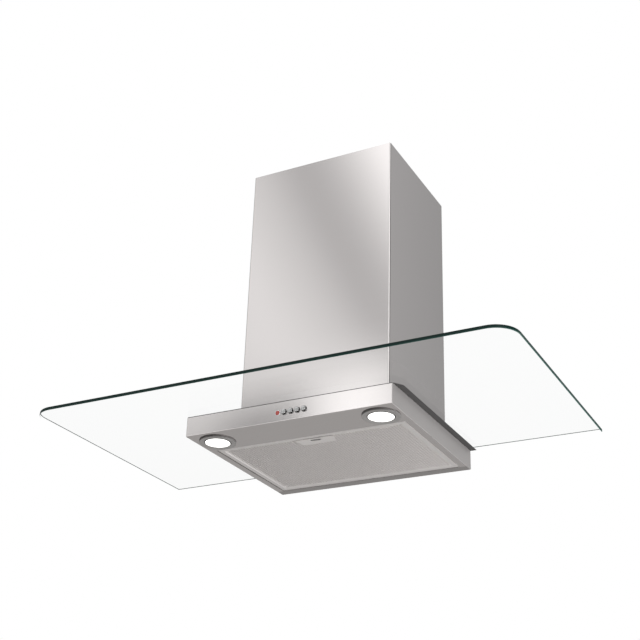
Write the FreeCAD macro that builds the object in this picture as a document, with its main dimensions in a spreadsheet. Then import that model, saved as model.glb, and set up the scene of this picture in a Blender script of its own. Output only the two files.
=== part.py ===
"""Wall-mounted range hood with a flat glass canopy, a slim steel body and a telescopic chimney.

Millimetres. X runs across the wall, Y into the wall (the wall plane is y = 0) and Z up.
Every piece is drawn with z = 0 at the underside of the glass and is then lowered by
hang_height, so the finished model has its origin in the middle of the four wall screws.
"""
import FreeCAD, Part
import math
import os
import re

import Sketcher

V = FreeCAD.Vector
doc = FreeCAD.newDocument("range_hood")

# ---------------------------------------------------------------- driving dimensions

SIZES = (
    # body
    ("body_width", 400, "body across"),
    ("body_depth", 352, "body from the wall to its front face"),
    ("body_height", 37, "body below the glass"),
    ("body_sheet", 1, "steel of the body"),
    ("bend_radius", 1.4, "outside radius of every bend in the body"),
    ("side_border", 15, "underside strip beside the filter"),
    ("front_border", 83, "underside panel in front of the filter"),
    ("rear_border", 21, "underside strip behind the filter"),
    ("bed_sheet", 1.5, "steel that carries the glass"),
    ("rail_overhang", 12, "lip of a glass rail outside the body's side"),
    ("rail_lip", 0.6, "thickness of a glass rail's lip"),
    ("rail_tip", 1, "front end of the lip outside the body's side"),
    ("rail_taper", 16, "slanting front end of the lip"),
    ("rail_start", 2, "lip behind the front face"),
    ("seal_thick", 1.2, "seal between the glass and the body's front wall"),
    ("rail_drop", 16, "upright leg of a glass rail"),
    ("bulkhead_sheet", 1, "wall between the air chamber and the front compartment"),
    ("bulkhead_gap", 6.5, "ledge between the filter opening and the bulkhead"),
    ("bulkhead_foot", 9, "foot of the bulkhead"),
    ("seat_gap", 0.2, "clearance between sheet pieces that seat in each other"),
    # glass
    ("glass_width", 900, "glass across"),
    ("glass_depth", 481, "glass from the wall to its front edge"),
    ("glass_thick", 6, "glass"),
    ("glass_corner", 42, "front corners of the glass"),
    ("glass_foot", 12, "glass that the chimney stands on"),
    ("notch_corner", 12, "inner corners of the notch in the glass"),
    ("bush_radius", 6, "nylon bush in the glass"),
    ("bush_flange", 1.5, "flange of the bush"),
    ("bush_lip", 2, "flange of the bush outside the hole"),
    ("bush_gap", 0.2, "bush in its hole"),
    ("bolt_radius", 3, "glass bolt"),
    ("bolt_gap", 0.2, "bolt in its holes"),
    ("bolt_head", 3, "height of the bolt's head"),
    ("bolt_head_radius", 5.5, "radius of the bolt's head"),
    ("bolt_rear", 60, "rear glass bolts from the wall"),
    ("bolt_front", 230, "front glass bolts from the wall"),
    ("nut_height", 4, "nut of a glass bolt"),
    # chimney
    ("chimney_width", 300, "outer chimney across"),
    ("chimney_depth", 256, "outer chimney from the wall"),
    ("chimney_height", 540, "outer chimney above the glass"),
    ("chimney_sheet", 0.8, "steel of both chimneys"),
    ("chimney_bend", 2.8, "outside radius of the chimney's bends"),
    ("chimney_flange", 18, "flange along the wall"),
    ("slide_gap", 0.5, "gap between the two chimneys"),
    ("upper_height", 480, "inner chimney"),
    ("upper_lift", 54, "inner chimney above the glass when it is lowered"),
    ("bracket_height", 26, "bracket that holds the inner chimney to the wall"),
    ("bracket_drop", 8, "bracket below the top of the inner chimney"),
    ("bracket_hole", 3, "radius of the bracket's wall holes"),
    ("bracket_spacing", 200, "bracket's wall holes apart"),
    # wall plate
    ("hang_height", 170, "middle of the wall screws above the glass"),
    ("plate_sheet", 1.5, "steel of the wall plate and bracket"),
    ("plate_gap", 7, "wall plate beside the chimney's flange"),
    ("plate_head", 45, "wall plate above the blower"),
    ("hole_edge", 13, "wall hole from the edge of the wall plate"),
    ("hole_rise", 200, "wall holes apart, up and down"),
    ("hole_radius", 4, "wall holes"),
    ("ear_rise", 8, "chimney ears above the glass"),
    ("ear_height", 26, "chimney ears"),
    ("screw_radius", 1.8, "small sheet-metal screws"),
    ("screw_gap", 0.2, "small screw in its hole"),
    ("screw_head", 2, "height of a small screw's head"),
    ("screw_head_radius", 3.5, "radius of a small screw's head"),
    # blower
    ("blower_lift", 36, "blower housing above the glass"),
    ("blower_rear", 14, "blower housing in front of the wall plate"),
    ("blower_front", 16, "blower housing behind the inner chimney"),
    ("inlet_room", 55, "air room beside the blower"),
    ("outlet_rise", 42, "outlet above the round part of the blower housing"),
    ("outlet_side", 80, "half the outlet's depth"),
    ("housing_wall", 2.5, "plastic of the blower housing"),
    ("inlet_radius", 62, "air inlets"),
    ("tab_thick", 4, "mounting tabs of the blower"),
    ("tab_height", 20, "mounting tabs of the blower"),
    ("tab_reach", 10, "mounting tabs beside the blower"),
    ("impeller_radius", 75, "impeller"),
    ("impeller_end", 14, "impeller from the inside of the blower housing"),
    ("blade_depth", 14, "impeller blade, from its outer to its inner edge"),
    ("blade_thick", 1.4, "impeller blade"),
    ("blade_count", 28, "impeller blades"),
    ("rim_thick", 2, "impeller rims and disc"),
    ("hub_radius", 10, "impeller hub"),
    ("hub_length", 14, "impeller hub"),
    ("shaft_radius", 4, "motor shaft"),
    ("shaft_gap", 0.05, "shaft in its bores"),
    ("shaft_end", 8, "shaft past the hub"),
    ("shaft_grip", 24, "shaft inside the motor"),
    ("motor_radius", 42, "motor"),
    ("motor_front", 6, "motor from the impeller's disc"),
    ("mount_thick", 3, "rubber mounts of the motor"),
    ("mount_radius", 5, "rubber mounts of the motor"),
    ("spider_thick", 2, "motor spider"),
    ("spider_ring", 12, "ring of the motor spider and of the inlet guard"),
    ("arm_width", 14, "arms of the motor spider"),
    ("guard_bar", 3, "bars of the inlet guard"),
    # outlet collar
    ("collar_radius", 75, "outside of the duct collar"),
    ("collar_wall", 2, "wall of the duct collar"),
    ("collar_height", 45, "duct collar above the blower housing"),
    ("collar_flange", 4, "flange of the duct collar, beyond its tube"),
    ("seat_height", 15, "flap seat above the blower housing"),
    ("seat_width", 6, "flap seat"),
    ("flap_thick", 1.2, "damper flaps"),
    ("flap_rim_gap", 1, "flap in the collar"),
    ("flap_split", 4, "flap edge from the spindle"),
    ("spindle_radius", 2, "damper spindle"),
    ("knuckle_wall", 1.4, "flap knuckles"),
    ("knuckle_length", 16, "flap knuckles"),
    ("rest_gap", 0.3, "clearance between pieces that move on each other"),
    # electrical pieces
    ("terminal_width", 90, "terminal box across"),
    ("terminal_depth", 30, "terminal box from the wall plate"),
    ("terminal_height", 34, "terminal box"),
    ("terminal_wall", 2, "terminal box"),
    ("gland_radius", 9, "cable gland"),
    ("gland_bore", 4, "cable gland's hole"),
    ("gland_height", 16, "cable gland"),
    ("capacitor_radius", 14, "motor capacitor"),
    ("capacitor_length", 48, "motor capacitor"),
    ("transformer_width", 52, "lamp transformer across"),
    ("transformer_depth", 40, "lamp transformer"),
    ("transformer_height", 22, "lamp transformer"),
    # controls
    ("control_drop", 20.4, "controls below the glass"),
    ("control_pitch", 12.8, "controls apart"),
    ("pilot_offset", 15.1, "pilot light left of the middle"),
    ("button_radius", 4.5, "push buttons"),
    ("button_proud", 4, "push buttons in front of the body"),
    ("button_length", 9, "head of a push button"),
    ("button_travel", 3, "push buttons, pressed"),
    ("button_gap", 0.3, "push button in its hole"),
    ("stem_radius", 1.6, "stem of a push button"),
    ("stem_length", 10, "stem of a push button"),
    ("spring_length", 6, "button spring at rest"),
    ("spring_wire", 0.5, "wire of the springs"),
    ("pilot_radius", 4, "pilot light"),
    ("pilot_proud", 1.2, "pilot light in front of the body"),
    ("switch_depth", 26, "switch block"),
    ("switch_height", 22, "switch block"),
    ("switch_margin", 9, "switch block beyond its outer controls"),
    # lamps
    ("lamp_inset", 40, "lamp from the side of the body"),
    ("lamp_setback", 43, "lamp from the front of the body"),
    ("ring_radius", 33, "lamp ring"),
    ("ring_drop", 2.6, "lamp ring below the body"),
    ("ring_lip", 1, "lip that holds the lens"),
    ("lens_radius", 25, "lamp lens"),
    ("lens_lap", 0.9, "lens over the ring's lip"),
    ("lens_thick", 2, "lamp lens"),
    ("lamp_gap", 0.2, "lens and ring in their seats"),
    ("collar_width", 2.4, "ring's collar through the body"),
    ("cup_height", 25, "lamp housing"),
    ("cup_wall", 1, "lamp housing"),
    ("cup_flange", 1.2, "flange of the lamp housing"),
    ("bulb_radius", 5, "lamp bulb"),
    ("bulb_length", 13, "lamp bulb"),
    ("bulb_base", 5, "base of the bulb"),
    # filter
    ("filter_gap", 1, "gap round the filter"),
    ("filter_thick", 9, "grease filter"),
    ("filter_recess", 0.5, "filter above the underside"),
    ("filter_bar", 12.6, "filter's frame bars"),
    ("mesh_thick", 5, "mesh pack"),
    ("mesh_grip", 4, "mesh inside the frame bars"),
    ("pivot_inset", 3, "filter pivots from its rear edge"),
    ("pivot_radius", 1.5, "filter pivots"),
    ("pivot_length", 6, "filter pivots beside the frame"),
    ("clip_wall", 1.6, "clip round a filter pivot"),
    ("clip_width", 5, "clip along a filter pivot"),
    ("latch_offset", 6, "latch right of the middle"),
    ("latch_front_width", 76, "latch plate at its front edge"),
    ("latch_rear_width", 64, "latch plate at its rear edge"),
    ("latch_depth", 24, "latch plate"),
    ("latch_sheet", 1, "latch plate"),
    ("latch_box_width", 40, "box on the latch plate"),
    ("slot_width", 21, "finger slot"),
    ("slot_depth", 6.5, "finger slot"),
    ("slot_setback", 3, "finger slot behind the plate's front edge"),
    ("tongue_width", 18, "latch tongue"),
    ("tongue_thick", 1.6, "latch tongue"),
    ("tongue_reach", 4.5, "latch tongue past the filter"),
    ("latch_travel", 4, "latch, drawn back"),
    ("finger_thick", 1.8, "finger tab of the latch"),
)

sheet = doc.addObject("Spreadsheet::Sheet", "Sizes")
for row, (alias, value, note) in enumerate(SIZES, 1):
    sheet.set(f"A{row}", alias)
    sheet.set(f"B{row}", str(value))
    sheet.set(f"C{row}", note)
    sheet.setAlias(f"B{row}", alias)
doc.recompute()

ALIAS = re.compile(r"\b(" + "|".join(alias for alias, value, note in SIZES) + r")\b")

# ---------------------------------------------------------------- levels and faces

SIDE = "(body_width/2)"
SIDE_IN = "(body_width/2 - body_sheet)"
FRONT = "(-body_depth)"
FRONT_IN = "(-body_depth + body_sheet)"
UNDERSIDE = "(-body_height)"
FLOOR = "(-body_height + body_sheet)"
OUT = "1"  # how far a cutting profile runs past the piece that it cuts

FILTER_HALF = "(body_width/2 - side_border)"
FILTER_FRONT = "(-body_depth + front_border)"
FILTER_REAR = "(-rear_border)"
FILTER_LOW = "(-body_height + filter_recess)"
FILTER_TOP = f"({FILTER_LOW} + filter_thick)"
BULKHEAD = f"({FILTER_FRONT} - filter_gap - bulkhead_gap)"

CHIMNEY = "(chimney_width/2)"
NOTCH = "(chimney_width/2 - glass_foot)"
NOTCH_FRONT = "(-chimney_depth + glass_foot)"
BOLT_X = f"((chimney_width/2 + {SIDE_IN})/2)"
RAIL_IN = f"({BOLT_X} - bush_radius - 2*bolt_radius)"
UPRIGHT = f"({SIDE_IN} - seat_gap)"

PLATE = "(chimney_width/2 - chimney_flange - plate_gap)"
UPPER = "(chimney_width/2 - chimney_sheet - slide_gap)"
UPPER_BACK = "(-chimney_sheet - slide_gap)"
UPPER_FRONT = "(-chimney_depth + chimney_sheet + slide_gap)"

HOUSING = (
    "((chimney_depth - 2*chimney_sheet - slide_gap - blower_front - blower_rear"
    " - plate_sheet)/2)"
)
AXIS_Y = f"(-plate_sheet - blower_rear - {HOUSING})"
AXIS_Z = f"(glass_thick + blower_lift + {HOUSING})"
HALF_BLOWER = "(chimney_width/2 - inlet_room)"
OUTLET = f"({AXIS_Z} + {HOUSING} + outlet_rise)"
PLATE_TOP = f"({OUTLET} + plate_head)"
SPINDLE = f"({OUTLET} + seat_height + rest_gap + flap_thick/2)"

LAMP_X = "(body_width/2 - lamp_inset)"
LAMP_Y = "(-body_depth + lamp_setback)"
BUTTONS = 4

pieces = []


def bind(obj, prop, expression):
    """Ties a property to an expression in which sizes go by their plain names."""
    obj.setExpression(prop, ALIAS.sub(r"Sizes.\1", str(expression)))


def measure(expression):
    """The value of an expression in the sheet's sizes."""
    names = {alias: float(sheet.get(alias)) for alias, value, note in SIZES}
    filled = ALIAS.sub(lambda found: repr(names[found.group(1)]), str(expression))
    return float(FreeCAD.Units.Quantity(filled).Value)


def keep(obj, label):
    """Names a finished piece and lowers it into the frame of the wall screws."""
    obj.Label = label
    height = [text for path, text in obj.ExpressionEngine if path.endswith("Placement.Base.z")]
    obj.setExpression("Placement.Base.z", f"{height[0] if height else 0} - Sizes.hang_height")
    pieces.append(obj)
    return obj


# ---------------------------------------------------------------- bodies with sketches


def new_body(name):
    return doc.addObject("PartDesign::Body", name)


def origin_feature(body, role):
    return next(o for o in body.Origin.OriginFeatures if o.Role == role)


def rect(left, right, low, high):
    return [(left, low), (right, low), (right, high), (left, high)]


def disc(across, up, radius):
    return ("disc", across, up, radius)


def draw(body, plane, offset, loops):
    """A sketch on one of the body's origin planes, moved along the plane's normal."""
    sketch = body.newObject("Sketcher::SketchObject", "outline")
    sketch.AttachmentSupport = [(origin_feature(body, f"{plane}_Plane"), "")]
    sketch.MapMode = "FlatFace"
    bind(sketch, "AttachmentOffset.Base.z", offset)
    for loop in loops:
        if loop[0] == "disc":
            draw_disc(sketch, *loop[1:])
        else:
            draw_polygon(sketch, loop)
    return sketch


def tie(sketch, kind, geometry, vertex, expression):
    """Holds a sketch point at a distance from the sketch's origin."""
    number = sketch.addConstraint(
        Sketcher.Constraint(kind, -1, 1, geometry, vertex, measure(expression))
    )
    bind(sketch, f"Constraints[{number}]", expression)


def draw_disc(sketch, across, up, radius):
    centre = V(measure(across), measure(up), 0)
    circle = sketch.addGeometry(Part.Circle(centre, V(0, 0, 1), measure(radius)), False)
    tie(sketch, "DistanceX", circle, 3, across)
    tie(sketch, "DistanceY", circle, 3, up)
    number = sketch.addConstraint(Sketcher.Constraint("Radius", circle, measure(radius)))
    bind(sketch, f"Constraints[{number}]", radius)


def draw_polygon(sketch, corners):
    points = [V(measure(across), measure(up), 0) for across, up in corners]
    count = len(points)
    sides = [
        sketch.addGeometry(Part.LineSegment(points[i], points[(i + 1) % count]), False)
        for i in range(count)
    ]
    for i in range(count):
        following = sides[(i + 1) % count]
        sketch.addConstraint(Sketcher.Constraint("Coincident", sides[i], 2, following, 1))
    for side, (across, up) in zip(sides, corners):
        tie(sketch, "DistanceX", side, 1, across)
        tie(sketch, "DistanceY", side, 1, up)


def add(body, plane, start, end, *loops):
    """Pads loops from start to end along the axis that is square to the plane."""
    offset = f"-({end})" if plane == "XZ" else start
    pad = body.newObject("PartDesign::Pad", "pad")
    pad.Profile = draw(body, plane, offset, loops)
    bind(pad, "Length", f"({end}) - ({start})")
    return pad


def remove(body, plane, start, end, *loops):
    """Pockets loops from start to end along the axis that is square to the plane."""
    offset = f"-({start})" if plane == "XZ" else end
    pocket = body.newObject("PartDesign::Pocket", "pocket")
    pocket.Profile = draw(body, plane, offset, loops)
    bind(pocket, "Length", f"({end}) - ({start})")
    return pocket


def revolve(body, corners):
    """Turns a profile of (radius, height) corners about the body's Z axis."""
    turned = body.newObject("PartDesign::Revolution", "turned")
    sketch = draw(body, "XZ", "0", [corners])
    turned.Profile = sketch
    turned.ReferenceAxis = (sketch, ["V_Axis"])
    turned.Angle = 360
    return turned


def round_edges(body, radius, wanted):
    """Fillets the edges whose middle point and direction the wanted test accepts."""
    doc.recompute()
    names = []
    for number, edge in enumerate(body.Shape.Edges, 1):
        if not isinstance(edge.Curve, Part.Line):
            continue
        middle = edge.valueAt((edge.FirstParameter + edge.LastParameter) / 2)
        if wanted(middle, edge.tangentAt(edge.FirstParameter)):
            names.append(f"Edge{number}")
    sharp = body.Tip
    fillet = body.newObject("PartDesign::Fillet", "bends")
    fillet.Base = (sharp, names)
    bind(fillet, "Radius", radius)
    return fillet


def near(first, second):
    return abs(first - second) < 0.01


# ---------------------------------------------------------------- solids and booleans


def spot(obj, x, y, z):
    for axis, expression in zip("xyz", (x, y, z)):
        bind(obj, f"Placement.Base.{axis}", expression)
    return obj


def block(x, y, z):
    """A box between two expressions along each axis."""
    box = doc.addObject("Part::Box", "block")
    for prop, (low, high) in zip(("Length", "Width", "Height"), (x, y, z)):
        bind(box, prop, f"({high}) - ({low})")
    return spot(box, x[0], y[0], z[0])


TURNED = {"X": (V(0, 1, 0), 90), "Y": (V(1, 0, 0), -90), "Z": (V(0, 0, 1), 0)}


def rod(axis, x, y, z, radius, length, kind="Part::Cylinder"):
    """A cylinder that starts at a point and runs along a positive axis."""
    cylinder = doc.addObject(kind, "rod")
    bind(cylinder, "Height", length)
    if kind == "Part::Cylinder":
        bind(cylinder, "Radius", radius)
    else:
        cylinder.Polygon = 6
        bind(cylinder, "Circumradius", radius)
    cylinder.Placement.Rotation = FreeCAD.Rotation(*TURNED[axis])
    return spot(cylinder, x, y, z)


def fuse(*shapes):
    joined = doc.addObject("Part::MultiFuse", "joined")
    joined.Shapes = list(shapes)
    return joined


def cut(base, *tools):
    result = doc.addObject("Part::Cut", "cut")
    result.Base = base
    result.Tool = tools[0] if len(tools) == 1 else fuse(*tools)
    return result


def group(*solids):
    """Like pieces that stay separate solids in one node."""
    collection = doc.addObject("Part::Compound", "group")
    collection.Links = list(solids)
    return collection


def mirrored(expression, side):
    return expression if side > 0 else f"(-{expression})"


def span(low, high, side):
    """The stretch from low to high on the right, or its mirror image on the left."""
    return (low, high) if side > 0 else (f"(-{high})", f"(-{low})")


SIDES = (("left", -1), ("right", 1))


# ---------------------------------------------------------------- wall plate and body


def wall_plate():
    body = new_body("wall_plate")
    low = f"({FLOOR} + seat_gap)"
    add(body, "XZ", "-plate_sheet", "0", rect(f"-{PLATE}", PLATE, low, PLATE_TOP))
    wing = f"({UPRIGHT} - 2*bed_sheet)"
    wing_back = "(-body_sheet)"
    add(body, "XZ", f"{wing_back} - plate_sheet", wing_back,
        rect(f"-{wing}", wing, low, "-4*bed_sheet"))
    ear = f"({CHIMNEY} - 4*chimney_sheet)"
    ear_back = "(-chimney_sheet)"
    ear_low = "(glass_thick + ear_rise)"
    add(body, "XZ", f"{ear_back} - plate_sheet", ear_back,
        rect(f"-{ear}", ear, ear_low, f"{ear_low} + ear_height"))
    hole_x = f"({PLATE} - hole_edge)"
    holes = [disc(mirrored(hole_x, side), f"hang_height {sign} hole_rise/2", "hole_radius")
             for name, side in SIDES for sign in "+-"]
    holes += [disc(mirrored(TAB_X, side), z, "screw_radius + screw_gap")
              for name, side in SIDES for z in TAB_Z]
    holes += [disc(mirrored(CHIMNEY_SCREW_X, side), CHIMNEY_SCREW_Z, "screw_radius + screw_gap")
              for name, side in SIDES]
    remove(body, "XZ", f"{ear_back} - plate_sheet - {OUT}", OUT, *holes)
    return keep(body, "wall_plate")


CHIMNEY_SCREW_X = f"({CHIMNEY} - chimney_flange/2)"
CHIMNEY_SCREW_Z = "(glass_thick + ear_rise + ear_height/2)"
TAB_X = f"({HALF_BLOWER} + tab_reach/2)"
TAB_Z = (AXIS_Z, f"({OUTLET} - tab_height)")


def control_x(number):
    """Across position of a control: 0 is the pilot light, 1 to 4 are the buttons."""
    return f"({number}*control_pitch - pilot_offset)"


def canopy_shell():
    body = new_body("canopy_shell")
    add(body, "XY", UNDERSIDE, "0", rect(f"-{SIDE}", SIDE, FRONT, "0"))
    inner = rect(f"-{SIDE_IN}", SIDE_IN, FRONT_IN, "-body_sheet")
    remove(body, "XY", FLOOR, OUT, inner)
    side, front, under = measure(SIDE), measure(FRONT), measure(UNDERSIDE)

    def folded(middle, direction):
        upright = near(abs(middle.x), side) and near(middle.y, front)
        lower = near(middle.z, under) and (near(abs(middle.x), side) or near(middle.y, front))
        return upright or lower

    round_edges(body, "bend_radius", folded)
    edge = f"({FILTER_HALF} + filter_gap)"
    opening = rect(f"-{edge}", edge, f"{FILTER_FRONT} - filter_gap", f"{FILTER_REAR} + filter_gap")
    lamp_hole = "(lens_radius + collar_width + lamp_gap)"
    lamp_holes = [disc(mirrored(LAMP_X, side), LAMP_Y, lamp_hole) for name, side in SIDES]
    remove(body, "XY", f"{UNDERSIDE} - {OUT}", f"{FLOOR} + {OUT}", opening, *lamp_holes)
    controls = [disc(control_x(0), "-control_drop", "pilot_radius + button_gap")]
    controls += [disc(control_x(n), "-control_drop", "button_radius + button_gap")
                 for n in range(1, BUTTONS + 1)]
    remove(body, "XZ", f"{FRONT} - {OUT}", f"{FRONT_IN} + {OUT}", *controls)
    past = f"({SIDE} + {OUT})"
    seats = [rect(*span(f"({SIDE_IN} - {OUT})", past, side), RAIL_FRONT, OUT)
             for name, side in SIDES]
    remove(body, "XY", "-rail_lip", OUT, *seats)
    remove(body, "XY", "-seal_thick", OUT, rect(f"-{past}", past, f"{FRONT} - {OUT}", RAIL_FRONT))
    remove(body, "XY", "-bed_sheet", OUT, rect(f"-{past}", past, f"-body_sheet - {OUT}", OUT))
    slot = f"({PLATE} + seat_gap)"
    remove(body, "XZ", f"-body_sheet - {OUT}", OUT, rect(f"-{slot}", slot, FLOOR, OUT))
    return keep(body, "canopy_shell")


RAIL_FRONT = f"({FRONT} + rail_start)"


def top_plate():
    """Closes the body under the glass, with the way for the air at the rear."""
    body = new_body("top_plate")
    edge = f"({RAIL_IN} - seat_gap)"
    front = f"({FRONT_IN} + seat_gap)"
    rear = "(-body_sheet - plate_sheet - 2*seat_gap)"
    add(body, "XY", "-bed_sheet", "0",
        [(f"-{edge}", front), (edge, front), (edge, rear), (NOTCH, rear),
         (NOTCH, NOTCH_FRONT), (f"-{NOTCH}", NOTCH_FRONT), (f"-{NOTCH}", rear), (f"-{edge}", rear)])
    return keep(body, "top_plate")


def front_bulkhead():
    body = new_body("front_bulkhead")
    edge = f"({UPRIGHT} - bed_sheet - seat_gap)"
    add(body, "XZ", f"{BULKHEAD} - bulkhead_sheet", BULKHEAD,
        rect(f"-{edge}", edge, FLOOR, "-bed_sheet"))
    foot = f"({LAMP_X} - ring_radius - lamp_gap)"
    add(body, "XY", FLOOR, f"{FLOOR} + bulkhead_sheet",
        rect(f"-{foot}", foot, f"{BULKHEAD} - bulkhead_foot", BULKHEAD))
    return keep(body, "front_bulkhead")


def glass_rail(name, side):
    """Shelf and leg inside the body, and a thin lip that passes over its side under the glass."""
    body = new_body(f"glass_rail_{name}")
    front = f"({FRONT_IN} + seat_gap)"
    add(body, "XY", "-bed_sheet", "0", rect(*span(RAIL_IN, UPRIGHT, side), front, "0"))
    outer = f"({SIDE} + rail_overhang)"
    start = f"({RAIL_FRONT} + seat_gap)"
    lip = [(RAIL_IN, start), (f"({SIDE} + rail_tip)", start), (outer, f"{start} + rail_taper"),
           (outer, "0"), (RAIL_IN, "0")]
    add(body, "XY", "-rail_lip", "0", [(mirrored(x, side), y) for x, y in lip])
    leg = span(f"({UPRIGHT} - bed_sheet)", UPRIGHT, side)
    add(body, "XY", "-rail_drop", "-bed_sheet/2",
        rect(*leg, front, "-body_sheet - plate_sheet - 2*seat_gap"))
    holes = [disc(mirrored(BOLT_X, side), f"-{y}", "bolt_radius + bolt_gap") for y in BOLT_Y]
    remove(body, "XY", f"-bed_sheet - {OUT}", OUT, *holes)
    return keep(body, f"glass_rail_{name}")


BOLT_Y = ("bolt_rear", "bolt_front")


def glass_seal():
    """Rubber strip on the front wall of the body, under the glass."""
    body = new_body("glass_seal")
    edge = f"({SIDE} - bend_radius)"
    add(body, "XY", "-seal_thick", "0", rect(f"-{edge}", edge, FRONT, FRONT_IN))
    return keep(body, "glass_seal")


def glass_canopy():
    body = new_body("glass_canopy")
    edge, front = "(glass_width/2)", "(-glass_depth)"
    add(body, "XY", "0", "glass_thick", rect(f"-{edge}", edge, front, "0"))
    remove(body, "XY", f"-{OUT}", f"glass_thick + {OUT}", rect(f"-{NOTCH}", NOTCH, NOTCH_FRONT, OUT))
    front_at, notch_at = measure(front), measure(NOTCH_FRONT)

    def upright_at(level):
        return lambda middle, direction: near(middle.y, level) and near(abs(direction.z), 1)

    round_edges(body, "glass_corner", upright_at(front_at))
    round_edges(body, "notch_corner", upright_at(notch_at))
    holes = [disc(mirrored(BOLT_X, side), f"-{y}", "bush_radius + bush_gap")
             for name, side in SIDES for y in BOLT_Y]
    remove(body, "XY", f"-{OUT}", f"glass_thick + {OUT}", *holes)
    return keep(body, "glass_canopy")


def glass_fixings():
    """Bolt, nylon bush and nut at each of the four holes in the glass."""
    bushes, bolts, nuts = [], [], []
    top = "(glass_thick + bush_flange)"
    for name, side in SIDES:
        for distance in BOLT_Y:
            x, y = mirrored(BOLT_X, side), f"(-{distance})"
            sleeve = rod("Z", x, y, "0", "bush_radius", "glass_thick")
            flange = rod("Z", x, y, "glass_thick", "bush_radius + bush_lip", "bush_flange")
            bore = rod("Z", x, y, f"-{OUT}", "bolt_radius + bolt_gap", f"{top} + 2*{OUT}")
            bushes.append(cut(fuse(sleeve, flange), bore))
            shank_low = "(-bed_sheet - nut_height - bolt_radius/2)"
            shank = rod("Z", x, y, shank_low, "bolt_radius", f"{top} - {shank_low}")
            head = rod("Z", x, y, top, "bolt_head_radius", "bolt_head")
            socket = rod("Z", x, y, f"{top} + bolt_head/2", "bolt_radius", "bolt_head", "Part::Prism")
            bolts.append(cut(fuse(shank, head), socket))
            nut = rod("Z", x, y, "-bed_sheet - nut_height", "bolt_head_radius", "nut_height",
                      "Part::Prism")
            thread = rod("Z", x, y, f"{shank_low}", "bolt_radius + shaft_gap", "2*nut_height")
            nuts.append(cut(nut, thread))
    keep(group(*bushes), "glass_bushes")
    keep(group(*bolts), "glass_bolts")
    keep(group(*nuts), "glass_nuts")


# ---------------------------------------------------------------- chimneys


def chimney_section(half, front, back, sheet_name):
    """Front, two sides and two flanges along the wall, as one bent sheet."""
    inner, lip = f"({half} - {sheet_name})", f"({half} - chimney_flange)"
    right = [(half, front), (half, back), (lip, back), (lip, f"{back} - {sheet_name}"),
             (inner, f"{back} - {sheet_name}"), (inner, f"{front} + {sheet_name}")]
    left = [(f"-{x}", y) for x, y in reversed(right)]
    return right + left


def chimney(label, half, front, back, low, high, screw_x, screw_z):
    body = new_body(label)
    add(body, "XY", low, high, chimney_section(half, front, back, "chimney_sheet"))
    sheet_thick = measure("chimney_sheet")
    for radius, inset in (("chimney_bend", 0), ("chimney_bend - chimney_sheet", sheet_thick)):
        side, level = measure(half) - inset, measure(front) + inset

        def bend(middle, direction):
            return near(abs(middle.x), side) and near(middle.y, level) and near(abs(direction.z), 1)

        round_edges(body, radius, bend)
    holes = [disc(mirrored(screw_x, side), screw_z, "screw_radius + screw_gap")
             for name, side in SIDES]
    remove(body, "XZ", f"{back} - chimney_sheet - {OUT}", f"{back} + {OUT}", *holes)
    return keep(body, label)


UPPER_LOW = "(glass_thick + upper_lift)"
UPPER_TOP = "(glass_thick + upper_lift + upper_height)"
BRACKET_TOP = f"({UPPER_TOP} - bracket_drop)"
BRACKET_MIDDLE = f"({BRACKET_TOP} - bracket_height/2)"
BRACKET = f"({UPPER} - chimney_flange - seat_gap)"
BRACKET_SCREW_X = f"({UPPER} - chimney_flange/2)"
BRACKET_EAR_BACK = f"({UPPER_BACK} - chimney_sheet)"


def chimneys():
    chimney("chimney_cover", CHIMNEY, "(-chimney_depth)", "0", "glass_thick",
            "glass_thick + chimney_height", CHIMNEY_SCREW_X, CHIMNEY_SCREW_Z)
    chimney("upper_chimney", UPPER, UPPER_FRONT, UPPER_BACK, UPPER_LOW, UPPER_TOP,
            BRACKET_SCREW_X, BRACKET_MIDDLE)


def chimney_bracket():
    """Flat bar on the wall whose ends step forward over the inner chimney's flanges."""
    body = new_body("chimney_bracket")
    low = f"({BRACKET_TOP} - bracket_height)"
    ear_front = f"({BRACKET_EAR_BACK} - plate_sheet)"
    add(body, "XZ", "-plate_sheet", "0", rect(f"-{BRACKET}", BRACKET, low, BRACKET_TOP))
    web = f"({BRACKET} - plate_sheet)"
    tip = f"({UPPER} - 3*chimney_sheet)"
    for name, side in SIDES:
        add(body, "XZ", ear_front, "0", rect(*span(web, BRACKET, side), low, BRACKET_TOP))
        add(body, "XZ", ear_front, BRACKET_EAR_BACK, rect(*span(web, tip, side), low, BRACKET_TOP))
    holes = [disc(mirrored("(bracket_spacing/2)", side), BRACKET_MIDDLE, "bracket_hole")
             for name, side in SIDES]
    holes += [disc(mirrored(BRACKET_SCREW_X, side), BRACKET_MIDDLE, "screw_radius + screw_gap")
              for name, side in SIDES]
    remove(body, "XZ", f"{ear_front} - {OUT}", OUT, *holes)
    return keep(body, "chimney_bracket")


def screws(label, places, tip, seat):
    """Small screws along Y at (x, z) places, with the head in front of the seat."""
    made = []
    for x, z in places:
        shank = rod("Y", x, seat, z, "screw_radius", f"({tip}) - ({seat})")
        head = rod("Y", x, f"{seat} - screw_head", z, "screw_head_radius", "screw_head")
        drive = rod("Y", x, f"{seat} - screw_head - {OUT}", z, "screw_radius/1.2",
                    f"screw_head/2 + {OUT}", "Part::Prism")
        made.append(cut(fuse(shank, head), drive))
    return keep(group(*made), label)


def sheet_screws():
    screws("chimney_screws", [(mirrored(CHIMNEY_SCREW_X, side), CHIMNEY_SCREW_Z)
                              for name, side in SIDES],
           "0", "(-chimney_sheet - plate_sheet)")
    screws("bracket_screws", [(mirrored(BRACKET_SCREW_X, side), BRACKET_MIDDLE)
                              for name, side in SIDES],
           UPPER_BACK, f"({BRACKET_EAR_BACK} - plate_sheet)")
    screws("blower_screws", [(mirrored(TAB_X, side), z) for name, side in SIDES for z in TAB_Z],
           "0", "(-plate_sheet - tab_thick)")


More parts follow.
